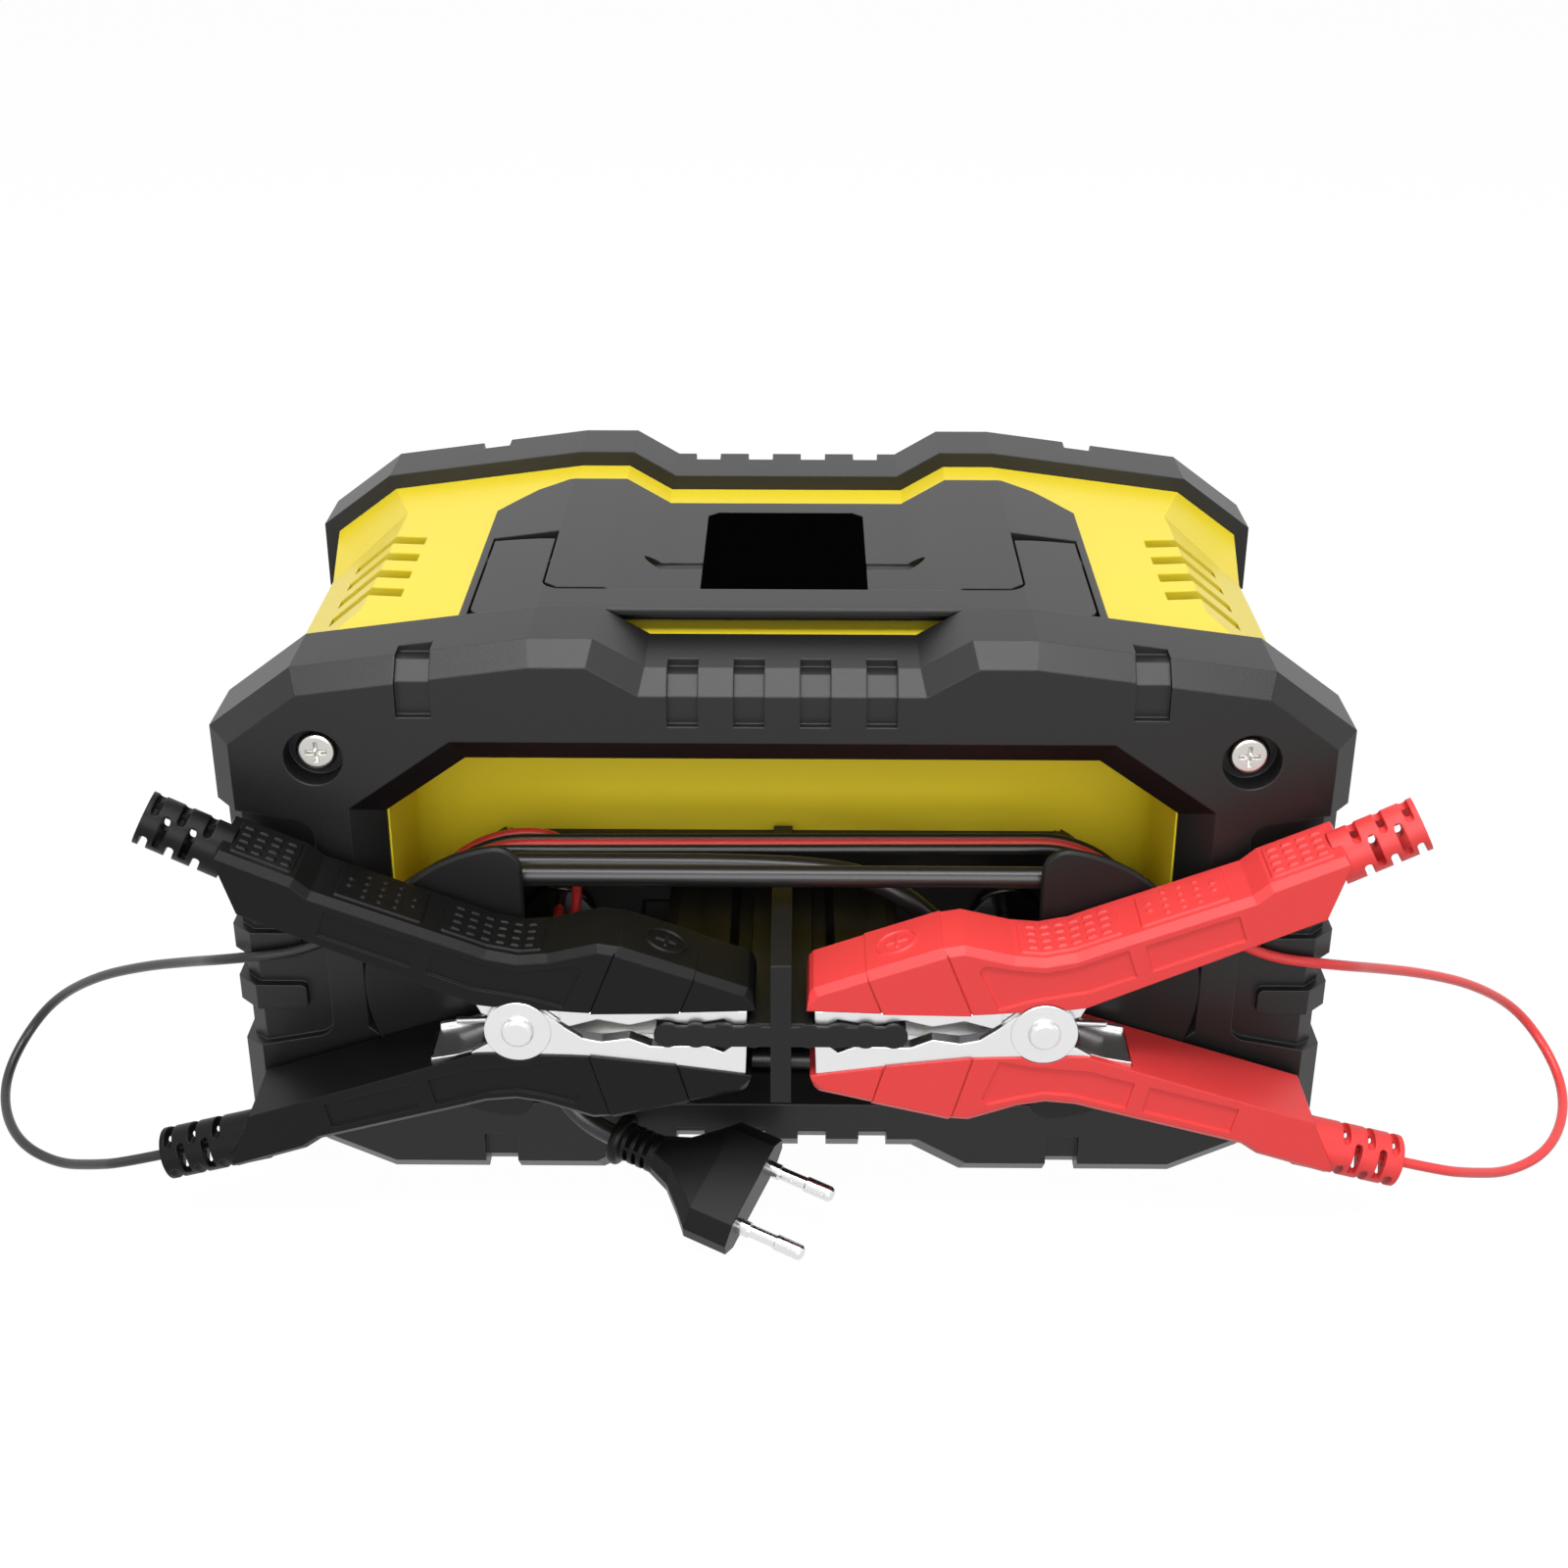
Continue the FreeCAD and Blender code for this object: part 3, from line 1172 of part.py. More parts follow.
# Far end: panel in the far opening with a window, buttons and indicator lamps
panel_y = -shell_end
board_y = panel_y - 12.0
panel_out = inset(opening_inner, joint_gap)
panel = prism_y(panel_out, panel_y, panel_y + panel_thick)
lens = box(-lens_half, lens_half, panel_y + panel_thick - 1.2, panel_y + panel_thick + 0.4,
           lens_low_z, lens_high_z)
window = [box(-lens_half, lens_half, panel_y + panel_thick - 1.2, panel_y + 9, lens_low_z, lens_high_z),
          box(-lens_half + 2, lens_half - 2, panel_y - 1, panel_y + 9, lens_low_z + 2, lens_high_z - 2)]
buttons = {}
guides = []
for k, name in enumerate(("mode_button", "rate_button", "start_button")):
    x = (k - 1) * button_step
    window.append(cyl_y(x, button_z, button_radius + button_play, panel_y - 20, panel_y + 9))
    cap = cyl_y(x, button_z, button_radius, panel_y - 4.0, panel_y + panel_thick + 2.2)
    rim = [e for e in cap.Edges if e.BoundBox.YMin > panel_y + panel_thick + 2.1]
    cap = cap.makeFillet(0.8, rim)
    flare = cyl_y(x, button_z, button_radius + 1.5, panel_y - 5.0, panel_y - 3.6)
    buttons[name] = fuse([cap, flare])
    tube_ = cyl_y(x, button_z, button_radius + 3.4, panel_y - 3.2, panel_y)
    guides.append(cut(tube_, [cyl_y(x, button_z, button_radius + button_play, panel_y - 20, panel_y + 9)]))
lamps = []
for k in range(led_count):
    x = (k - (led_count - 1) / 2) * 12.0
    window.append(cyl_y(x, 73.0, 1.6, panel_y - 1, panel_y + 9))
    lamps.append(cyl_y(x, 73.0, 1.6, board_y + 2.0, panel_y + panel_thick + 0.6))
panel = fuse([cut(panel, window)] + guides)
save("control_panel", panel)
save("display_lens", lens)
save("status_leds", Part.makeCompound(lamps))
for name, shape in buttons.items():
    save(name, shape)
display_board = box(-66.0, 66.0, board_y, board_y + 2.0, 52.0, 107.0)
module = box(-lens_half + 3, lens_half - 3, board_y + 2.0, panel_y + 1.5, lens_low_z + 3, lens_high_z - 3)
stems = [cyl_y((k - 1) * button_step, button_z, 3.0, board_y + 2.0, panel_y - 5.0 - button_travel - 0.2)
         for k in range(3)]
posts = [cyl_y(sx * 62.0, sz, 3.0, board_y + 2.0, panel_y) for sx in (-1, 1) for sz in (56.0, 103.0)]
save("display_board", fuse([display_board, module] + stems + posts))

# Fan behind the slotted plate
fan_y0 = bay_wall_y + wall
fan_y1 = fan_y0 + fan_depth
h = fan_size / 2
frame_box = box(-h, h, fan_y0, fan_y1, fan_z - h, fan_z + h)
frame_box = cut(frame_box, [cyl_y(0, fan_z, fan_bore, fan_y0 - 1, fan_y1 + 1)])
spokes = [cyl_y(0, fan_z, 10.0, fan_y1 - 2.5, fan_y1)]
for k in range(3):
    arm = box(-1.5, 1.5, fan_y1 - 2.5, fan_y1, fan_z + 8, fan_z + fan_bore + 1)
    arm.rotate(V(0, 0, fan_z), V(0, 1, 0), 30 + 120 * k)
    spokes.append(arm)
shaft_hole = cyl_y(0, fan_z, 1.5 + 0.04, fan_y1 - 2.5 - 1, fan_y1 + 1)
save("fan_frame", cut(fuse([frame_box] + spokes), [shaft_hole]))
hub = cyl_y(0, fan_z, 10.0, fan_y0 + 2.0, fan_y1 - 3.0)
blades = []
for k in range(7):
    blade = box(-0.8, 0.8, fan_y0 + 2.5, fan_y1 - 3.5, fan_z + 9, fan_z + fan_bore - 1.0)
    blade.rotate(V(0, (fan_y0 + fan_y1) / 2 - 0.5, fan_z), V(0, 0, 1), 32)
    blade.rotate(V(0, 0, fan_z), V(0, 1, 0), k * 360 / 7)
    blades.append(blade)
rotor_room = cyl_y(0, fan_z, fan_bore - 0.8, fan_y0 + 1.0, fan_y1 - 2.8)
rotor = fuse([hub] + blades + [cyl_y(0, fan_z, 1.5, fan_y1 - 3.0, fan_y1)]).common(
    fuse([rotor_room, cyl_y(0, fan_z, 1.5, fan_y0, fan_y1)]))
save("fan_rotor", rotor)

# Transformer, board and what stands on it
inner_floor = shell_step + wall
core_x = -foot_out + 3.3
core_y = -8.0
legs = box(core_x, core_x + core_width, core_y, core_y + core_depth, inner_floor, inner_floor + core_height)
w5 = core_width / 5
windows = [box(core_x + w5 * 0.8, core_x + w5 * 1.6, core_y - 1, core_y + core_depth + 1,
               inner_floor + 11, inner_floor + core_height - 11),
           box(core_x + w5 * 3.4, core_x + w5 * 4.2, core_y - 1, core_y + core_depth + 1,
               inner_floor + 11, inner_floor + core_height - 11)]
save("transformer_core", cut(legs, windows))
coil_z0, coil_z1 = inner_floor + 11.0, inner_floor + core_height - 11.0
coil = box(core_x + w5 * 0.8, core_x + w5 * 4.2, core_y - 6, core_y + core_depth + 6, coil_z0, coil_z1)
coil = cut(coil, [box(core_x + w5 * 1.6, core_x + w5 * 3.4, core_y, core_y + core_depth, coil_z0 - 1, coil_z1 + 1)])
save("transformer_coil", coil)
board = box(board_left, board_right, board_near, board_far, board_z, board_z + board_thick)
save("main_board", board)
props = [cyl_z(x, y, 4.0, inner_floor, board_z) for x in (52.0, 86.0)
         for y in (board_near + 6, board_far - 6)]
save("board_posts", Part.makeCompound(props))
top = board_z + board_thick
sink = [box(-24.0, 16.0, 2.0, 42.0, top, top + 5.0)]
for k in range(7):
    x = -24.0 + k * 6.2
    sink.append(box(x, x + 2.4, 2.0, 42.0, top + 5.0, top + 36.0))
save("heatsink", fuse(sink))
cans = [cyl_z(x, y, 8.0, top, top + 30.0) for x in (32.0, 52.0) for y in (8.0, 28.0)]
save("capacitors", Part.makeCompound(cans))
torus = Part.makeTorus(11.0, 4.5, V(78.0, 32.0, top + 4.5), V(0, 0, 1))
save("choke", torus)
fuse_body = box(70.0, 94.0, 4.0, 12.0, top, top + 9.0)
save("fuse", fuse_body)
for name, side in (("output", -1), ("mains", 1)):
    x0, x1 = sorted((side * (grommet_x - 8), side * (grommet_x + 8)))
    save(name + "_terminals", box(x0, x1, end_y, end_y + 9.0, grommet_z - 9, grommet_z + 9))


def wire_run(points, label):
    edges, least = route_edges(points)
    return tube(edges, 1.4, label, least)[0]


out_wires = []
main_wires = []
for k in (-1, 1):
    z = grommet_z + k * 4
    out_wires.append(wire_run([V(8 - grommet_x, end_y + 4.5, z), V(-39.0, end_y + 4.5, z),
                               V(-36.5, -17.0, z - 9), V(-31.0 + k * 2, -8.0, 33.0),
                               V(-31.0 + k * 2, -8.0, top)], "output wire"))
    main_wires.append(wire_run([V(grommet_x + k * 3, end_y + 9.0, grommet_z),
                                V(grommet_x + k * 3, -15.0, grommet_z),
                                V(62.0 + k * 3, -6.0, 42.0), V(66.0 + k * 3, -4.0, 32.0),
                                V(66.0 + k * 3, -4.0, top)], "mains wire"))
save("output_wires", Part.makeCompound(out_wires))
save("mains_wires", Part.makeCompound(main_wires))
print(len(saved), "nodes")
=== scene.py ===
import math

import bpy
import numpy as np
from mathutils import Matrix, Vector


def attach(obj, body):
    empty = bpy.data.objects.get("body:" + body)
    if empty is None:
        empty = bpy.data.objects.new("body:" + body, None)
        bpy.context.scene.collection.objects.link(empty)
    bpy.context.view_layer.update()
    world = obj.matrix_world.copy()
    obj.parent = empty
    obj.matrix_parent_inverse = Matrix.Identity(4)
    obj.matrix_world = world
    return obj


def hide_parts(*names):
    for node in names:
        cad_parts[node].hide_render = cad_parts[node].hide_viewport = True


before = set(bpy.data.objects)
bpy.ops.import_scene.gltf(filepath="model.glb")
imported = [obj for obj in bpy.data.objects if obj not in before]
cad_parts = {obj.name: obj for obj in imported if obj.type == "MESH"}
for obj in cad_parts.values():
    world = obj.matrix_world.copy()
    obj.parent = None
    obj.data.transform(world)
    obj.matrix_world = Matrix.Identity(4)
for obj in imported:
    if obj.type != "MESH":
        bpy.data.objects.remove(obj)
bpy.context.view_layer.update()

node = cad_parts
mm_per_m = 1000.0


def put(name, data):
    """New object of the scene on some data."""
    made = bpy.data.objects.new(name, data)
    bpy.context.scene.collection.objects.link(made)
    return made


def grey(level):
    return (level, level, level)


# Camera: a 51 mm lens half a metre before the charger and 0.33 m up, which looks 26 degrees down on
# the clamp end, with a trace of yaw and roll.
lens_mm = 51.23
eye = (0.0035, -0.52574, 0.33073)
yaw, pitch, roll = (math.radians(a) for a in (-0.384, 26.0, 0.118))
ahead = Vector((math.sin(yaw) * math.cos(pitch), math.cos(yaw) * math.cos(pitch),
                -math.sin(pitch)))
level = Vector((math.cos(yaw), -math.sin(yaw), 0.0))
upright = level.cross(ahead)
right = math.cos(roll) * level + math.sin(roll) * upright
up = math.cos(roll) * upright - math.sin(roll) * level
camera_data = bpy.data.cameras.new("camera")
camera_data.lens = lens_mm
camera_data.sensor_width = 36.0
camera_data.clip_start = 0.01
camera = put("camera", camera_data)
camera.matrix_world = Matrix.Translation(eye) @ Matrix((right, up, -ahead)).transposed().to_4x4()
bpy.context.scene.camera = camera
bpy.context.scene.view_settings.view_transform = "Standard"


# Studio: white paper under and behind the charger, a large soft lamp overhead, a low one in front
# that reaches into the bay, a narrow one above the camera and a weak one from each side.
room_light = 0.12
paper_half = 4.0
paper_shade, paper_glow, paper_share = 0.22, 1.15, 0.85
lamp_aim = Vector((0, 0, 0.06))


def math_node(tree, operation, first, second):
    """Math node on two sockets or numbers."""
    made = tree.nodes.new("ShaderNodeMath")
    made.operation = operation
    for k, value in enumerate((first, second)):
        if isinstance(value, (int, float)):
            made.inputs[k].default_value = value
        else:
            tree.links.new(value, made.inputs[k])
    return made.outputs[0]


def white_to_camera(tree, dim, bright, share):
    """Shader that camera, mirror and glass rays see as bright, by this share, and others as dim."""
    path = tree.nodes.new("ShaderNodeLightPath")
    seen = math_node(tree, "MAXIMUM", path.outputs["Is Camera Ray"], path.outputs["Is Glossy Ray"])
    seen = math_node(tree, "MAXIMUM", seen, path.outputs["Is Transmission Ray"])
    mix = tree.nodes.new("ShaderNodeMixShader")
    tree.links.new(math_node(tree, "MULTIPLY", seen, share), mix.inputs[0])
    tree.links.new(dim.outputs[0], mix.inputs[1])
    tree.links.new(bright.outputs[0], mix.inputs[2])
    return mix.outputs[0]


world = bpy.data.worlds.new("paper room")
world.use_nodes = True
bpy.context.scene.world = world
room = world.node_tree
dim_room = room.nodes["Background"]
dim_room.inputs["Color"].default_value = (1, 1, 1, 1)
dim_room.inputs["Strength"].default_value = room_light
bright_room = room.nodes.new("ShaderNodeBackground")
bright_room.inputs["Color"].default_value = (1, 1, 1, 1)
room.links.new(white_to_camera(room, dim_room, bright_room, 1.0),
               room.nodes["World Output"].inputs["Surface"])

paper_mesh = bpy.data.meshes.new("floor")
paper_mesh.from_pydata([(-paper_half, -paper_half, 0), (paper_half, -paper_half, 0),
                        (paper_half, paper_half, 0), (-paper_half, paper_half, 0)],
                       [], [(0, 1, 2, 3)])
floor = put("floor", paper_mesh)
paper = bpy.data.materials.new("white paper")
paper.use_nodes = True
sheet_tree = paper.node_tree
sheet_tree.nodes.clear()
matte = sheet_tree.nodes.new("ShaderNodeBsdfDiffuse")
matte.inputs["Color"].default_value = (*grey(paper_shade), 1)
glow = sheet_tree.nodes.new("ShaderNodeEmission")
glow.inputs["Strength"].default_value = paper_glow
paper_out = sheet_tree.nodes.new("ShaderNodeOutputMaterial")
sheet_tree.links.new(white_to_camera(sheet_tree, matte, glow, paper_share),
                     paper_out.inputs["Surface"])
paper_mesh.materials.append(paper)

for lamp_name, spot, wide, tall, watts in (
        ("lamp overhead", (0.0, -0.15, 1.6), 1.2, 1.2, 20.0),
        ("lamp in front", (0.0, -1.5, 0.60), 1.1, 1.0, 15.0),
        ("lamp over camera", (0.0, -0.72, 1.45), 1.2, 0.3, 9.0),
        ("lamp from left", (-1.5, -0.3, 0.7), 0.8, 0.8, 1.5),
        ("lamp from right", (1.5, -0.3, 0.7), 0.8, 0.8, 1.5)):
    lamp_data = bpy.data.lights.new(lamp_name, "AREA")
    lamp_data.shape = "RECTANGLE"
    lamp_data.size = wide
    lamp_data.size_y = tall
    lamp_data.energy = watts
    lamp = put(lamp_name, lamp_data)
    lamp.location = spot
    lamp.rotation_euler = (lamp_aim - Vector(spot)).to_track_quat("-Z", "Y").to_euler()


# Guards: two charcoal frames of tough plastic, moulded with a fine matte grain, that the housing
# is screwed between. Their edges are slightly rounded and lighter, partly rubbed and partly a
# painted highlight.
broad_scale = 22.0
swing_gain = 2.0
edge_gain = 6.0
# Painted highlight: gain and lift of the base colour along edges, partly rubbing and partly a
# painted edge highlight.
wear_and_sheen_gain, wear_and_sheen_lift = 1.25, 0.03


def new_group(name, sockets_in, sockets_out):
    """Empty shader group with its two ends; each inlet is (name, kind, value)."""
    group = bpy.data.node_groups.new(name, "ShaderNodeTree")
    for socket_name, kind, value in sockets_in:
        socket = group.interface.new_socket(socket_name, in_out="INPUT", socket_type=kind)
        socket.default_value = value
    for socket_name, kind in sockets_out:
        group.interface.new_socket(socket_name, in_out="OUTPUT", socket_type=kind)
    return group, group.nodes.new("NodeGroupInput"), group.nodes.new("NodeGroupOutput")


def shade(tree, colour, amount):
    """Colour scaled in brightness by a socket that is about 1."""
    made = tree.nodes.new("ShaderNodeHueSaturation")
    tree.links.new(colour, made.inputs["Color"])
    tree.links.new(amount, made.inputs["Value"])
    return made.outputs[0]


grain_group, grain_in, grain_out = new_group(
    "moulded grain",
    [("Colour", "NodeSocketColor", (*grey(0.5), 1)), ("Roughness", "NodeSocketFloat", 0.5),
     ("Grains per metre", "NodeSocketFloat", 1500.0), ("Unevenness", "NodeSocketFloat", 0.1)],
    [("Colour", "NodeSocketColor"), ("Roughness", "NodeSocketFloat"),
     ("Height", "NodeSocketFloat")])
place = grain_group.nodes.new("ShaderNodeTexCoord")
fine = grain_group.nodes.new("ShaderNodeTexNoise")
fine.inputs["Detail"].default_value = 3.0
fine.inputs["Roughness"].default_value = 0.6
broad = grain_group.nodes.new("ShaderNodeTexNoise")
broad.inputs["Scale"].default_value = broad_scale
broad.inputs["Detail"].default_value = 4.0
grain_group.links.new(place.outputs["Object"], fine.inputs["Vector"])
grain_group.links.new(place.outputs["Object"], broad.inputs["Vector"])
grain_group.links.new(grain_in.outputs["Grains per metre"], fine.inputs["Scale"])
both = math_node(grain_group, "ADD",
                 math_node(grain_group, "MULTIPLY", fine.outputs["Fac"], 0.5),
                 math_node(grain_group, "MULTIPLY", broad.outputs["Fac"], 0.5))
swing = math_node(grain_group, "MULTIPLY", math_node(grain_group, "SUBTRACT", both, 0.5),
                  grain_in.outputs["Unevenness"])
factor = math_node(grain_group, "ADD",
                   math_node(grain_group, "MULTIPLY", swing, swing_gain), 1.0)
grain_group.links.new(shade(grain_group, grain_in.outputs["Colour"], factor),
                      grain_out.inputs["Colour"])
grain_group.links.new(math_node(grain_group, "MULTIPLY", grain_in.outputs["Roughness"], factor),
                      grain_out.inputs["Roughness"])
grain_group.links.new(fine.outputs["Fac"], grain_out.inputs["Height"])

# Bevel normal for rounded edges, and a mask along them that lightens the base colour as rubbing and
# as a painted edge highlight.
edge_group, edge_in, edge_out = new_group(
    "rounded edges, rubbing and sheen",
    [("Radius", "NodeSocketFloat", 0.0005), ("Wear and sheen", "NodeSocketFloat", 0.5)],
    [("Normal", "NodeSocketVector"), ("Mask", "NodeSocketFloat")])
rounding = edge_group.nodes.new("ShaderNodeBevel")
rounding.samples = 6
surface = edge_group.nodes.new("ShaderNodeNewGeometry")
turned = edge_group.nodes.new("ShaderNodeVectorMath")
turned.operation = "DOT_PRODUCT"
edge_group.links.new(edge_in.outputs["Radius"], rounding.inputs["Radius"])
edge_group.links.new(rounding.outputs[0], turned.inputs[0])
edge_group.links.new(surface.outputs["Normal"], turned.inputs[1])
bent = math_node(edge_group, "SUBTRACT", 1.0, turned.outputs["Value"])
worn_and_sheen = math_node(edge_group, "MULTIPLY", math_node(edge_group, "MULTIPLY", bent, edge_gain),
                 edge_in.outputs["Wear and sheen"])
edge_group.links.new(math_node(edge_group, "MINIMUM", worn_and_sheen, 1.0), edge_out.inputs["Mask"])
edge_group.links.new(rounding.outputs[0], edge_out.inputs["Normal"])


def moulded(name, colour, roughness, grains=1500.0, depth=0.00003, radius=0.0005, wear_and_sheen=0.25,
            uneven=0.08, metallic=0.0, specular=0.5):
    """Finish with grain and rounded edges, lightened along them partly as rubbing and partly as a
    painted edge highlight; depth and radius are in metres.
    """
    finish = bpy.data.materials.new(name)
    finish.use_nodes = True
    tree = finish.node_tree
    shader = tree.nodes["Principled BSDF"]
    shader.inputs["Metallic"].default_value = metallic
    shader.inputs["Specular IOR Level"].default_value = specular
    grain = tree.nodes.new("ShaderNodeGroup")
    grain.node_tree = grain_group
    grain.inputs["Colour"].default_value = (*colour, 1)
    grain.inputs["Roughness"].default_value = roughness
    grain.inputs["Grains per metre"].default_value = grains
    grain.inputs["Unevenness"].default_value = uneven
    edges = tree.nodes.new("ShaderNodeGroup")
    edges.node_tree = edge_group
    edges.inputs["Radius"].default_value = radius
    edges.inputs["Wear and sheen"].default_value = wear_and_sheen
    mix = tree.nodes.new("ShaderNodeMix")
    mix.data_type = "RGBA"
    # Lighter colour along edges: partly rubbing, partly a painted edge highlight.
    mix.inputs["B"].default_value = (*(min(1.0, wear_and_sheen_gain * c + wear_and_sheen_lift) for c in colour), 1)
    tree.links.new(edges.outputs["Mask"], mix.inputs["Factor"])
    tree.links.new(grain.outputs["Colour"], mix.inputs["A"])
    tree.links.new(mix.outputs["Result"], shader.inputs["Base Color"])
    tree.links.new(grain.outputs["Roughness"], shader.inputs["Roughness"])
    bump = tree.nodes.new("ShaderNodeBump")
    bump.inputs["Distance"].default_value = depth
    tree.links.new(grain.outputs["Height"], bump.inputs["Height"])
    tree.links.new(edges.outputs["Normal"], bump.inputs["Normal"])
    tree.links.new(bump.outputs[0], shader.inputs["Normal"])
    return finish


def dress(finish, *names):
    """Puts a finish on CAD nodes, in place of the plain one they came with."""
    for name in names:
        mesh = node[name].data
        mesh.materials.clear()
        mesh.materials.append(finish)


guard_plastic = moulded("guard plastic", grey(0.006), 0.4, wear_and_sheen=0.3, specular=0.37)
dress(guard_plastic, "near_bumper", "far_bumper")


# Screws: bright plated pan heads with a cross recess, four at each end, sunk in the guards.
plated_screw = moulded("plated screw", (0.62, 0.61, 0.58), 0.2, grains=900.0, depth=0.00001,
                       radius=0.0003, metallic=1.0, wear_and_sheen=0.2)
dress(plated_screw, "bumper_screws")


# Housing: upper and lower shell are a satin yellow plastic. The bay's lining is the same yellow
# painted lighter, as painted light on the bay wall that the guard shades.
yellow_plastic = moulded("yellow plastic", (0.76, 0.60, 0.02), 0.38, grains=2600.0,
                         depth=0.00001, wear_and_sheen=0.1, uneven=0.03)
dress(yellow_plastic, "upper_shell", "lower_shell")
# Painted light: this yellow is lighter than the shells' and stands in for light reaching the shaded
# bay wall.
bay_yellow_painted_light = moulded("bay yellow with painted light", (0.86, 0.70, 0.025), 0.42, grains=2600.0, depth=0.00001,
                      wear_and_sheen=0.1, uneven=0.02)
dress(bay_yellow_painted_light, "storage_bay")


# Saddle, handle and far panel: charcoal plastic with the guards' grain. The handle turns on two
# steel pins in the saddle.
trim_plastic = moulded("trim plastic", grey(0.008), 0.4, wear_and_sheen=0.25, specular=0.4)
dress(trim_plastic, "saddle_panel", "carry_handle", "control_panel")
pin_steel = moulded("pin steel", (0.6, 0.6, 0.61), 0.3, metallic=1.0)
dress(pin_steel, "handle_pins")


# Label: plain dead black film in a shallow seat of the saddle.
label_film = moulded("label film", grey(0.001), 0.6, grains=300.0, depth=0.000002,
                     radius=0.0002, wear_and_sheen=0.0, uneven=0.02, specular=0.0)
dress(label_film, "label_plate")


# Bay fittings: slotted back plate, cord posts and the cross for the clamps, all black plastic,
# and the two rubber sockets that the cords leave by.
black_plastic = moulded("black fittings", grey(0.008), 0.42, wear_and_sheen=0.15, specular=0.25)
dress(black_plastic, "bay_back_plate", "winder_right", "winder_left", "clamp_holder",
      "board_posts")
grommet_rubber = moulded("grommet rubber", grey(0.008), 0.16, depth=0.00001, wear_and_sheen=0.0)
dress(grommet_rubber, "lead_grommet", "mains_grommet")


# Clamps: long sprung levers of red or black plastic on pressed, plated steel jaws.
red_plastic = moulded("red clamp plastic", (0.76, 0.05, 0.05), 0.45, grains=2600.0,
                      depth=0.00001, wear_and_sheen=0.12, uneven=0.03, specular=0.4)
black_clamp_plastic = moulded("black clamp plastic", grey(0.004), 0.4, grains=2600.0,
                              depth=0.00001, wear_and_sheen=0.12, uneven=0.05, specular=0.16)
jaw_steel = moulded("plated jaw steel", (0.76, 0.76, 0.765), 0.3, grains=300.0,
                    depth=0.000002, metallic=1.0, wear_and_sheen=0.1, uneven=0.04)
spring_steel = moulded("spring steel", (0.5, 0.5, 0.51), 0.28, grains=500.0, depth=0.000005,
                       metallic=1.0, wear_and_sheen=0.1)
clamps = (("red", 1, red_plastic), ("black", -1, black_clamp_plastic))
for colour, side, plastic in clamps:
    for level_name in ("_upper", "_lower"):
        dress(plastic, colour + level_name + "_lever", colour + level_name + "_relief")
        dress(jaw_steel, colour + level_name + "_jaw")
    dress(jaw_steel, colour + "_clamp_pin")
    dress(spring_steel, colour + "_spring")


# Grip pads: thin pads with rounded corners on the top face of each upper lever, two with rows of
# small bars and one with round dots, and a ring with a cross in it nearer the jaws. All sizes of
# pads and sleeves are millimetres from the clamp's pivot, x towards the lever's tail.
lever_line = np.array([(-53.6, 9.9), (-52.6, 11.1), (-41.9, 15.0), (-24.0, 21.5), (-18.8, 22.4),
                       (-7.4, 19.7), (-0.8, 19.2), (6.1, 20.6), (11.3, 22.7), (44.2, 35.4),
                       (47.7, 38.5), (63.6, 45.5)])
pivot = (60.0, -84.15, 57.1)
pad_rise, mark_rise, pad_sink, sleeve_rise = 0.45, 0.4, 0.12, 0.3
pad_half, pad_corner, pad_soft, pad_step = 7.2, 1.0, 0.4, 0.16
bar_half_x, bar_half_y, bar_corner, bar_rows, bar_row_pitch = 1.1, 0.8, 0.25, 4, 3.1
dot_radius, dot_pitch_x, dot_pitch_y = 1.0, 3.5, 3.0
sign_x, sign_half, sign_step, sign_soft = -33.6, 4.9, 0.14, 0.25
ring_radius, ring_half_width, sign_arm, sign_arm_half, sign_corner = 4.5, 0.35, 2.5, 0.5, 0.1


def sheet(name, side, x, y, z, facing=1):
    """Grid of points on the red clamp, or mirrored onto the black one for side -1, as an object
    in metres whose faces look outward, or the other way about for facing -1."""
    points = np.stack([side * (pivot[0] + x), pivot[1] + y, pivot[2] + z], axis=-1) / mm_per_m
    index = np.arange(x.size).reshape(x.shape)
    faces = np.stack([index[:-1, :-1], index[1:, :-1], index[1:, 1:], index[:-1, 1:]], axis=-1)
    faces = faces.reshape(-1, 4)[:, ::side * facing]
    mesh = bpy.data.meshes.new(name)
    mesh.from_pydata(points.reshape(-1, 3).tolist(), [], faces.tolist())
    return put(name, mesh)


def on_lever(name, side, x0, x1, y_half, step, rise):
    """Sheet on the lever's top line: a grid over x and y, lifted by rise(x, y) along the normal
    of the line, which is smoothed over 1.6 mm where its straight parts meet."""
    xs = np.linspace(x0, x1, int((x1 - x0) / step) + 1)
    ys = np.linspace(-y_half, y_half, int(2 * y_half / step) + 1)
    shifts = np.linspace(-0.8, 0.8, 9)
    line = np.interp(xs[:, None] + shifts, lever_line[:, 0], lever_line[:, 1]).mean(axis=1)
    slope = np.gradient(line, xs)
    steep = np.sqrt(1 + slope ** 2)
    x, y = np.meshgrid(xs, ys, indexing="ij")
    lift = rise(x, y)
    made = sheet(name, side, x - lift * (slope / steep)[:, None], y,
                 line[:, None] + lift / steep[:, None])
    made.data.shade_smooth()
    return made


def swell(distance, soft):
    """1 inside a form and 0 outside it, rising smoothly over soft millimetres inside its edge."""
    share = np.clip(-distance / soft, 0.0, 1.0)
    return share * share * (3 - 2 * share)


def rounded_box(x, y, half_x, half_y, corner):
    """Distance to a rectangle with rounded corners about the origin, negative inside."""
    over_x = np.abs(x) - half_x + corner
    over_y = np.abs(y) - half_y + corner
    outside = np.hypot(np.maximum(over_x, 0), np.maximum(over_y, 0))
    return outside + np.minimum(np.maximum(over_x, over_y), 0) - corner


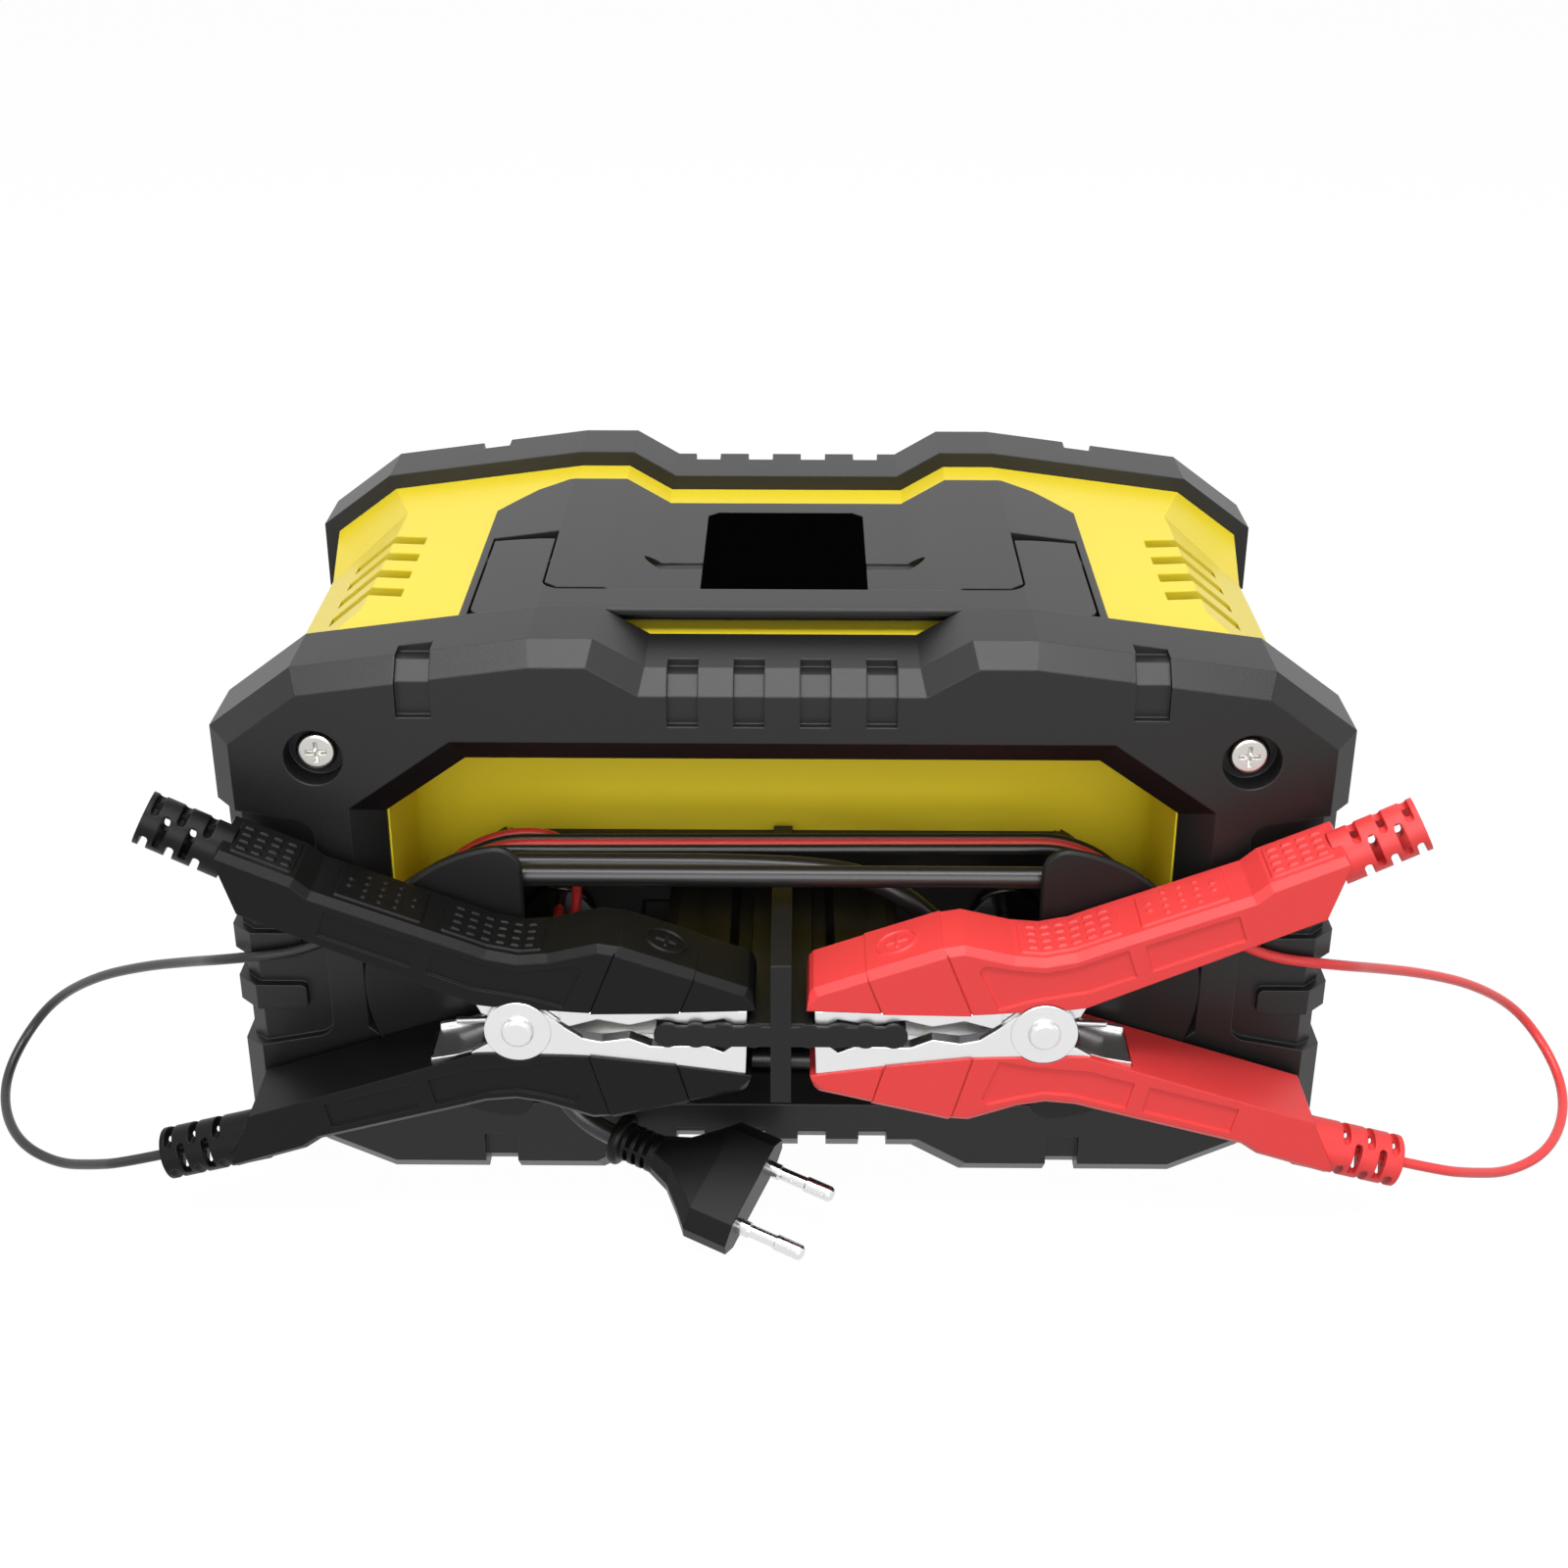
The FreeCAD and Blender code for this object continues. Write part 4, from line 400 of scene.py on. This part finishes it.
def nearest(value, pitch, count):
    """Place of the nearest of count marks, a pitch apart about the origin, in pitches."""
    middle = (count - 1) / 2
    return np.clip(np.round(value / pitch + middle), 0, count - 1) - middle


def bars(columns, pitch):
    """Distance to a block of small bars, 4 deep, about the origin, as a function of x and y."""
    def distance(x, y):
        return rounded_box(x - nearest(x, pitch, columns) * pitch,
                           y - nearest(y, bar_row_pitch, bar_rows) * bar_row_pitch,
                           bar_half_x, bar_half_y, bar_corner)
    return distance


def dots(x, y):
    """Distance to 5 columns of round dots about the origin, 2 in the outer and 4 in the others."""
    col = np.clip(np.round(x / dot_pitch_x), -2, 2)
    reach = np.where(np.abs(col) > 1.5, 0.5, 1.5)
    row = np.clip(np.round(y / dot_pitch_y + 1.5) - 1.5, -reach, reach)
    return np.hypot(x - col * dot_pitch_x, y - row * dot_pitch_y) - dot_radius


def pad_with(half_x, middle, marks, soft):
    """Rise of a pad about middle, with marks on it whose edges take soft millimetres."""
    def rise(x, y):
        pad = swell(rounded_box(x - middle, y, half_x, pad_half, pad_corner), pad_soft)
        marked = mark_rise * swell(marks(x - middle, y), soft)
        return pad * (pad_sink + pad_rise) - pad_sink + marked
    return rise


def ring_sign(x, y):
    """Rise of a ring about 9 mm wide with a cross in it, on the sleeve towards the jaws."""
    x = x - sign_x
    ring = np.abs(np.hypot(x, y) - ring_radius) - ring_half_width
    cross = np.minimum(rounded_box(x, y, sign_arm, sign_arm_half, sign_corner),
                       rounded_box(x, y, sign_arm_half, sign_arm, sign_corner))
    mark = swell(np.minimum(ring, cross), sign_soft)
    return sleeve_rise + (pad_sink + mark_rise) * mark - pad_sink


for colour, side, plastic in clamps:
    for pad_name, x0, x1, y_half, step, rise in (
            ("_grip_bars", -6.3, 16.7, pad_half, pad_step, pad_with(11.5, 5.2, bars(6, 3.3), 0.3)),
            ("_grip_dots", 20.4, 40.0, pad_half, pad_step, pad_with(9.8, 30.2, dots, 0.9)),
            ("_tail_bars", 48.3, 61.9, pad_half, pad_step, pad_with(6.8, 55.1, bars(4, 3.1), 0.3)),
            ("_ring_sign", -38.5, -28.7, sign_half, sign_step, ring_sign)):
        pad = on_lever(colour + pad_name, side, x0, x1, y_half, step, rise)
        pad.data.materials.append(plastic)
        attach(pad, colour + "_lever")


# Sleeves: a slightly raised band round each lever between its two slanted grooves.
lever_opening = math.radians(6.0)


def sleeve(name, side, low):
    """Band of six lines along the lever, from the front face's lower edge over both bevels to the
    back face's lower edge, lifted by sleeve_rise and turned in at both slanted ends; a lower one
    is mirrored in the clamp's middle and turned by the levers' opening."""
    across = np.array([-10.0, -10.0, -8.4, 8.4, 10.0, 10.0])
    out_y = np.array([-1.0, -0.92, -0.38, 0.38, 0.92, 1.0])
    out_z = np.array([0.0, 0.38, 0.92, 0.92, 0.38, 0.0])
    jaw_end = np.array([(-36.8, 5.2), (-40.3, 13.9), (-40.9, 15.36)])
    tail_end = np.array([(-16.8, 4.9), (-22.8, 20.1), (-23.6, 21.57)])
    order = [0, 1, 2, 2, 1, 0]
    ends = np.stack([jaw_end[order], jaw_end[order], tail_end[order], tail_end[order]])
    lift = np.array([-pad_sink, sleeve_rise, sleeve_rise, -pad_sink])[:, None]
    x, z = ends[..., 0], ends[..., 1] + lift * out_z
    y = across + lift * out_y
    if low:
        cosine, sine = math.cos(lever_opening), math.sin(lever_opening)
        x, z = x * cosine + z * sine, -z * cosine + x * sine
    return sheet(name, side, x, y, z, -1 if low else 1)


for colour, side, plastic in clamps:
    for level_name, low, body in (("upper", False, colour + "_lever"), ("lower", True, "unit")):
        band = sleeve(colour + "_" + level_name + "_sleeve", side, low)
        band.data.materials.append(plastic)
        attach(band, body)


# Cords: a round black mains cord and a thin lead for each clamp, wound round the two posts in the
# bay. Each is one smooth line; the leads run free over the guard's edge and into the lower levers.
lead_thick = 0.0025
mains_thick = 0.0052
drawn_y = 12.25
post_x, post_z = 61.3, 57.0
lead_radius, lead_pitch = 27.0, 5.8
mains_radius, mains_pitch = 26.0, 5.9
mains_row_y = -73.3


def metres(points):
    """Millimetres about the housing's middle, as the part is drawn, to metres in the frame."""
    out = np.array(points, float)
    out[:, 1] += drawn_y
    return out / mm_per_m


def windings(radius, pitch, start, stop, start_y):
    """Corners of the turns round both posts: per half turn six corners set out so that the line
    through them keeps the radius, and two on each straight run; Y falls by pitch in each turn."""
    half_step = math.radians(15)
    turn = half_step + math.radians(30) * np.arange(6)
    out = radius / math.cos(half_step)
    lead = radius * math.tan(half_step)
    arc = math.pi * radius
    run = 2 * post_x
    loop = 2 * arc + 2 * run
    x = np.concatenate([-post_x - out * np.sin(turn), [lead - post_x, post_x - lead],
                        post_x + out * np.sin(turn), [post_x - lead, lead - post_x]])
    z = np.concatenate([post_z + out * np.cos(turn), [post_z - radius] * 2,
                        post_z - out * np.cos(turn), [post_z + radius] * 2])
    along = np.concatenate([radius * turn, [arc + lead, arc + run - lead],
                            arc + run + radius * turn, [2 * arc + run + lead, loop - lead]])
    count = int(stop / loop) + 1
    along = (along[None, :] + loop * np.arange(count)[:, None]).ravel()
    keep = (along > start) & (along < stop)
    y = start_y - pitch * (along - start) / loop
    return np.stack([np.tile(x, count), y, np.tile(z, count)], axis=1)[keep].tolist()


def smooth_cord(name, points, thick):
    """Round cord on one open spline of order 3 whose corners are the given points."""
    line = bpy.data.curves.new(name, "CURVE")
    line.dimensions = "3D"
    line.bevel_depth = thick / 2
    line.bevel_resolution = 5
    line.resolution_u = 10
    line.use_fill_caps = True
    spline = line.splines.new("NURBS")
    spline.points.add(len(points) - 1)
    spline.points.foreach_set("co", np.c_[points, np.ones(len(points))].ravel())
    spline.order_u = 3
    spline.use_endpoint_u = True
    return put(name, line)


def cord_rubber(name, colour, roughness, depth):
    return moulded(name, colour, roughness, grains=900.0, depth=depth, radius=0.0001, wear_and_sheen=0.0)


def other_side(points):
    return [(-x, y, z) for x, y, z in points]


lead_arc = math.pi * lead_radius
lead_loop = 2 * lead_arc + 4 * post_x
over_guard = [(-112.3, -84.85, 65.23), (-131.7, -84.8, 62.93), (-143.6, -71.0, 54.2),
              (-159.7, -57.0, 44.56), (-177.3, -43.0, 33.04), (-193.7, -30.0, 18.64),
              (-202.8, -30.52, 8.0), (-205.5, -42.23, 2.4), (-201.1, -58.16, 1.25),
              (-192.2, -72.71, 1.3), (-180.3, -80.78, 1.35), (-167.7, -90.0, 7.78)]
into_clamp = [(-158.0, -96.4, 13.1), (-126.0, -96.4, 21.3), (-114.5, -96.4, 27.5),
              (-99.0, -96.4, 35.9), (-81.35, -96.4, 45.7)]
black_rubber = cord_rubber("black lead rubber", grey(0.010), 0.34, 0.000004)
red_rubber = cord_rubber("red lead rubber", (0.74, 0.045, 0.045), 0.34, 0.000004)
black_points = ([(-57.0, -33.4, 46.3), (-57.0, -40.0, 46.3), (-57.0, -49.9, 46.3),
                 (-45.4, -59.5, 39.3), (-34.5, -56.5, 32.9), (-25.7, -58.5, 30.0)]
                + windings(lead_radius, lead_pitch, lead_arc + post_x, 2 * lead_loop - 1, -59.1)
                + [(-73.8, -68.5, 84.0), (-85.5, -76.5, 81.0), (-94.6, -82.5, 75.6),
                   (-99.0, -84.95, 73.0)] + over_guard + into_clamp)
red_points = ([(-57.0, -33.4, 52.7), (-57.0, -40.0, 52.7), (-57.0, -51.0, 52.7),
               (-50.6, -58.2, 60.0), (-50.2, -59.4, 75.0), (-53.6, -59.6, 84.0)]
              + windings(lead_radius, lead_pitch, 0.0, lead_loop + 1.5 * lead_arc + 2 * post_x,
                         -59.7)
              + [(88.3, -69.1, 64.5), (91.1, -78.3, 72.4), (94.6, -82.7, 75.0),
                 (99.0, -84.95, 74.6)] + other_side(over_guard + into_clamp))
for name, points, rubber, slot, length in (
        ("black_lead_cord", black_points, black_rubber, "black_wire", 1.121),
        ("red_lead_cord", red_points, red_rubber, "red_wire", 1.066)):
    line = metres(points)
    lead = smooth_cord(name, line, lead_thick)
    lead.data.materials.append(rubber)
    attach(lead, "unit")
    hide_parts(name.replace("_cord", ""))

mains_arc = math.pi * mains_radius
second_row_y = mains_row_y - mains_pitch
mains_rubber = cord_rubber("mains cord rubber", grey(0.012), 0.32, 0.000005)
mains_points = ([(57.0, -33.4, 49.5), (57.0, -42.0, 49.5), (57.0, -56.9, 49.5),
                 (42.5, -75.0, 62.9), (25.1, -73.7, 78.9), (5.2, mains_row_y, 83.0),
                 (-54.3, mains_row_y, 83.0)]
                + windings(mains_radius, 0.0, 0.0, mains_arc + 10, mains_row_y)
                + windings(mains_radius, 0.0, mains_arc + 2 * post_x - 10,
                           2 * mains_arc + 4 * post_x, second_row_y)
                + windings(mains_radius, 0.0, 0.0, 0.55 * mains_arc, second_row_y)
                + [(-85.6, -79.2, 43.5), (-79.0, -79.0, 33.1), (-60.4, -79.0, 29.8),
                   (-52.8, -85.2, 25.0), (-46.5, -88.0, 19.03), (-39.8, -90.8, 17.6)])
line = metres(mains_points)
mains = smooth_cord("mains_cord_line", line, mains_thick)
mains.data.materials.append(mains_rubber)
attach(mains, "unit")
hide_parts("mains_cord")


# Plug: two-pin flat plug of black plastic with a ribbed neck, lying against the near guard's foot.
plug_plastic = moulded("plug plastic", grey(0.004), 0.38, wear_and_sheen=0.1, depth=0.00001,
                       specular=0.17)
plug_metal = moulded("nickel pins", (0.74, 0.74, 0.75), 0.16, metallic=1.0, depth=0.000002,
                     wear_and_sheen=0.1)
dress(plug_plastic, "plug_body")
dress(plug_metal, "plug_pins")


# Far end: control panel with a tinted window over the display, five lamps and three keys.
lens_glass = moulded("display window", (0.10, 0.12, 0.13), 0.08, depth=0.0, wear_and_sheen=0.0)
lamp_plastic = moulded("lamp lens", (0.08, 0.55, 0.14), 0.2, depth=0.0, wear_and_sheen=0.0)
key_plastic = moulded("grey keys", (0.30, 0.30, 0.31), 0.45, wear_and_sheen=0.2)
dress(lens_glass, "display_lens")
dress(lamp_plastic, "status_leds")
dress(key_plastic, "mode_button", "rate_button", "start_button")


# Inside: transformer, board with its parts, fan and wires, seen only through the vents.
board_green = moulded("board lacquer", (0.02, 0.16, 0.06), 0.3, depth=0.0)
fan_plastic = moulded("fan plastic", grey(0.015), 0.45)
core_steel = moulded("core laminations", (0.16, 0.16, 0.17), 0.5, metallic=0.8, grains=3000.0)
coil_copper = moulded("enamelled copper", (0.65, 0.3, 0.13), 0.35, metallic=1.0)
sink_metal = moulded("heatsink aluminium", (0.72, 0.72, 0.73), 0.35, metallic=1.0)
can_sleeve = moulded("capacitor sleeve", (0.02, 0.03, 0.06), 0.3)
terminal_plastic = moulded("terminal plastic", (0.72, 0.72, 0.68), 0.5)
dress(board_green, "display_board", "main_board")
dress(fan_plastic, "fan_frame", "fan_rotor")
dress(core_steel, "transformer_core")
dress(coil_copper, "transformer_coil", "choke")
dress(sink_metal, "heatsink")
dress(can_sleeve, "capacitors")
dress(terminal_plastic, "output_terminals", "mains_terminals", "fuse")
dress(red_rubber, "output_wires")
dress(mains_rubber, "mains_wires")
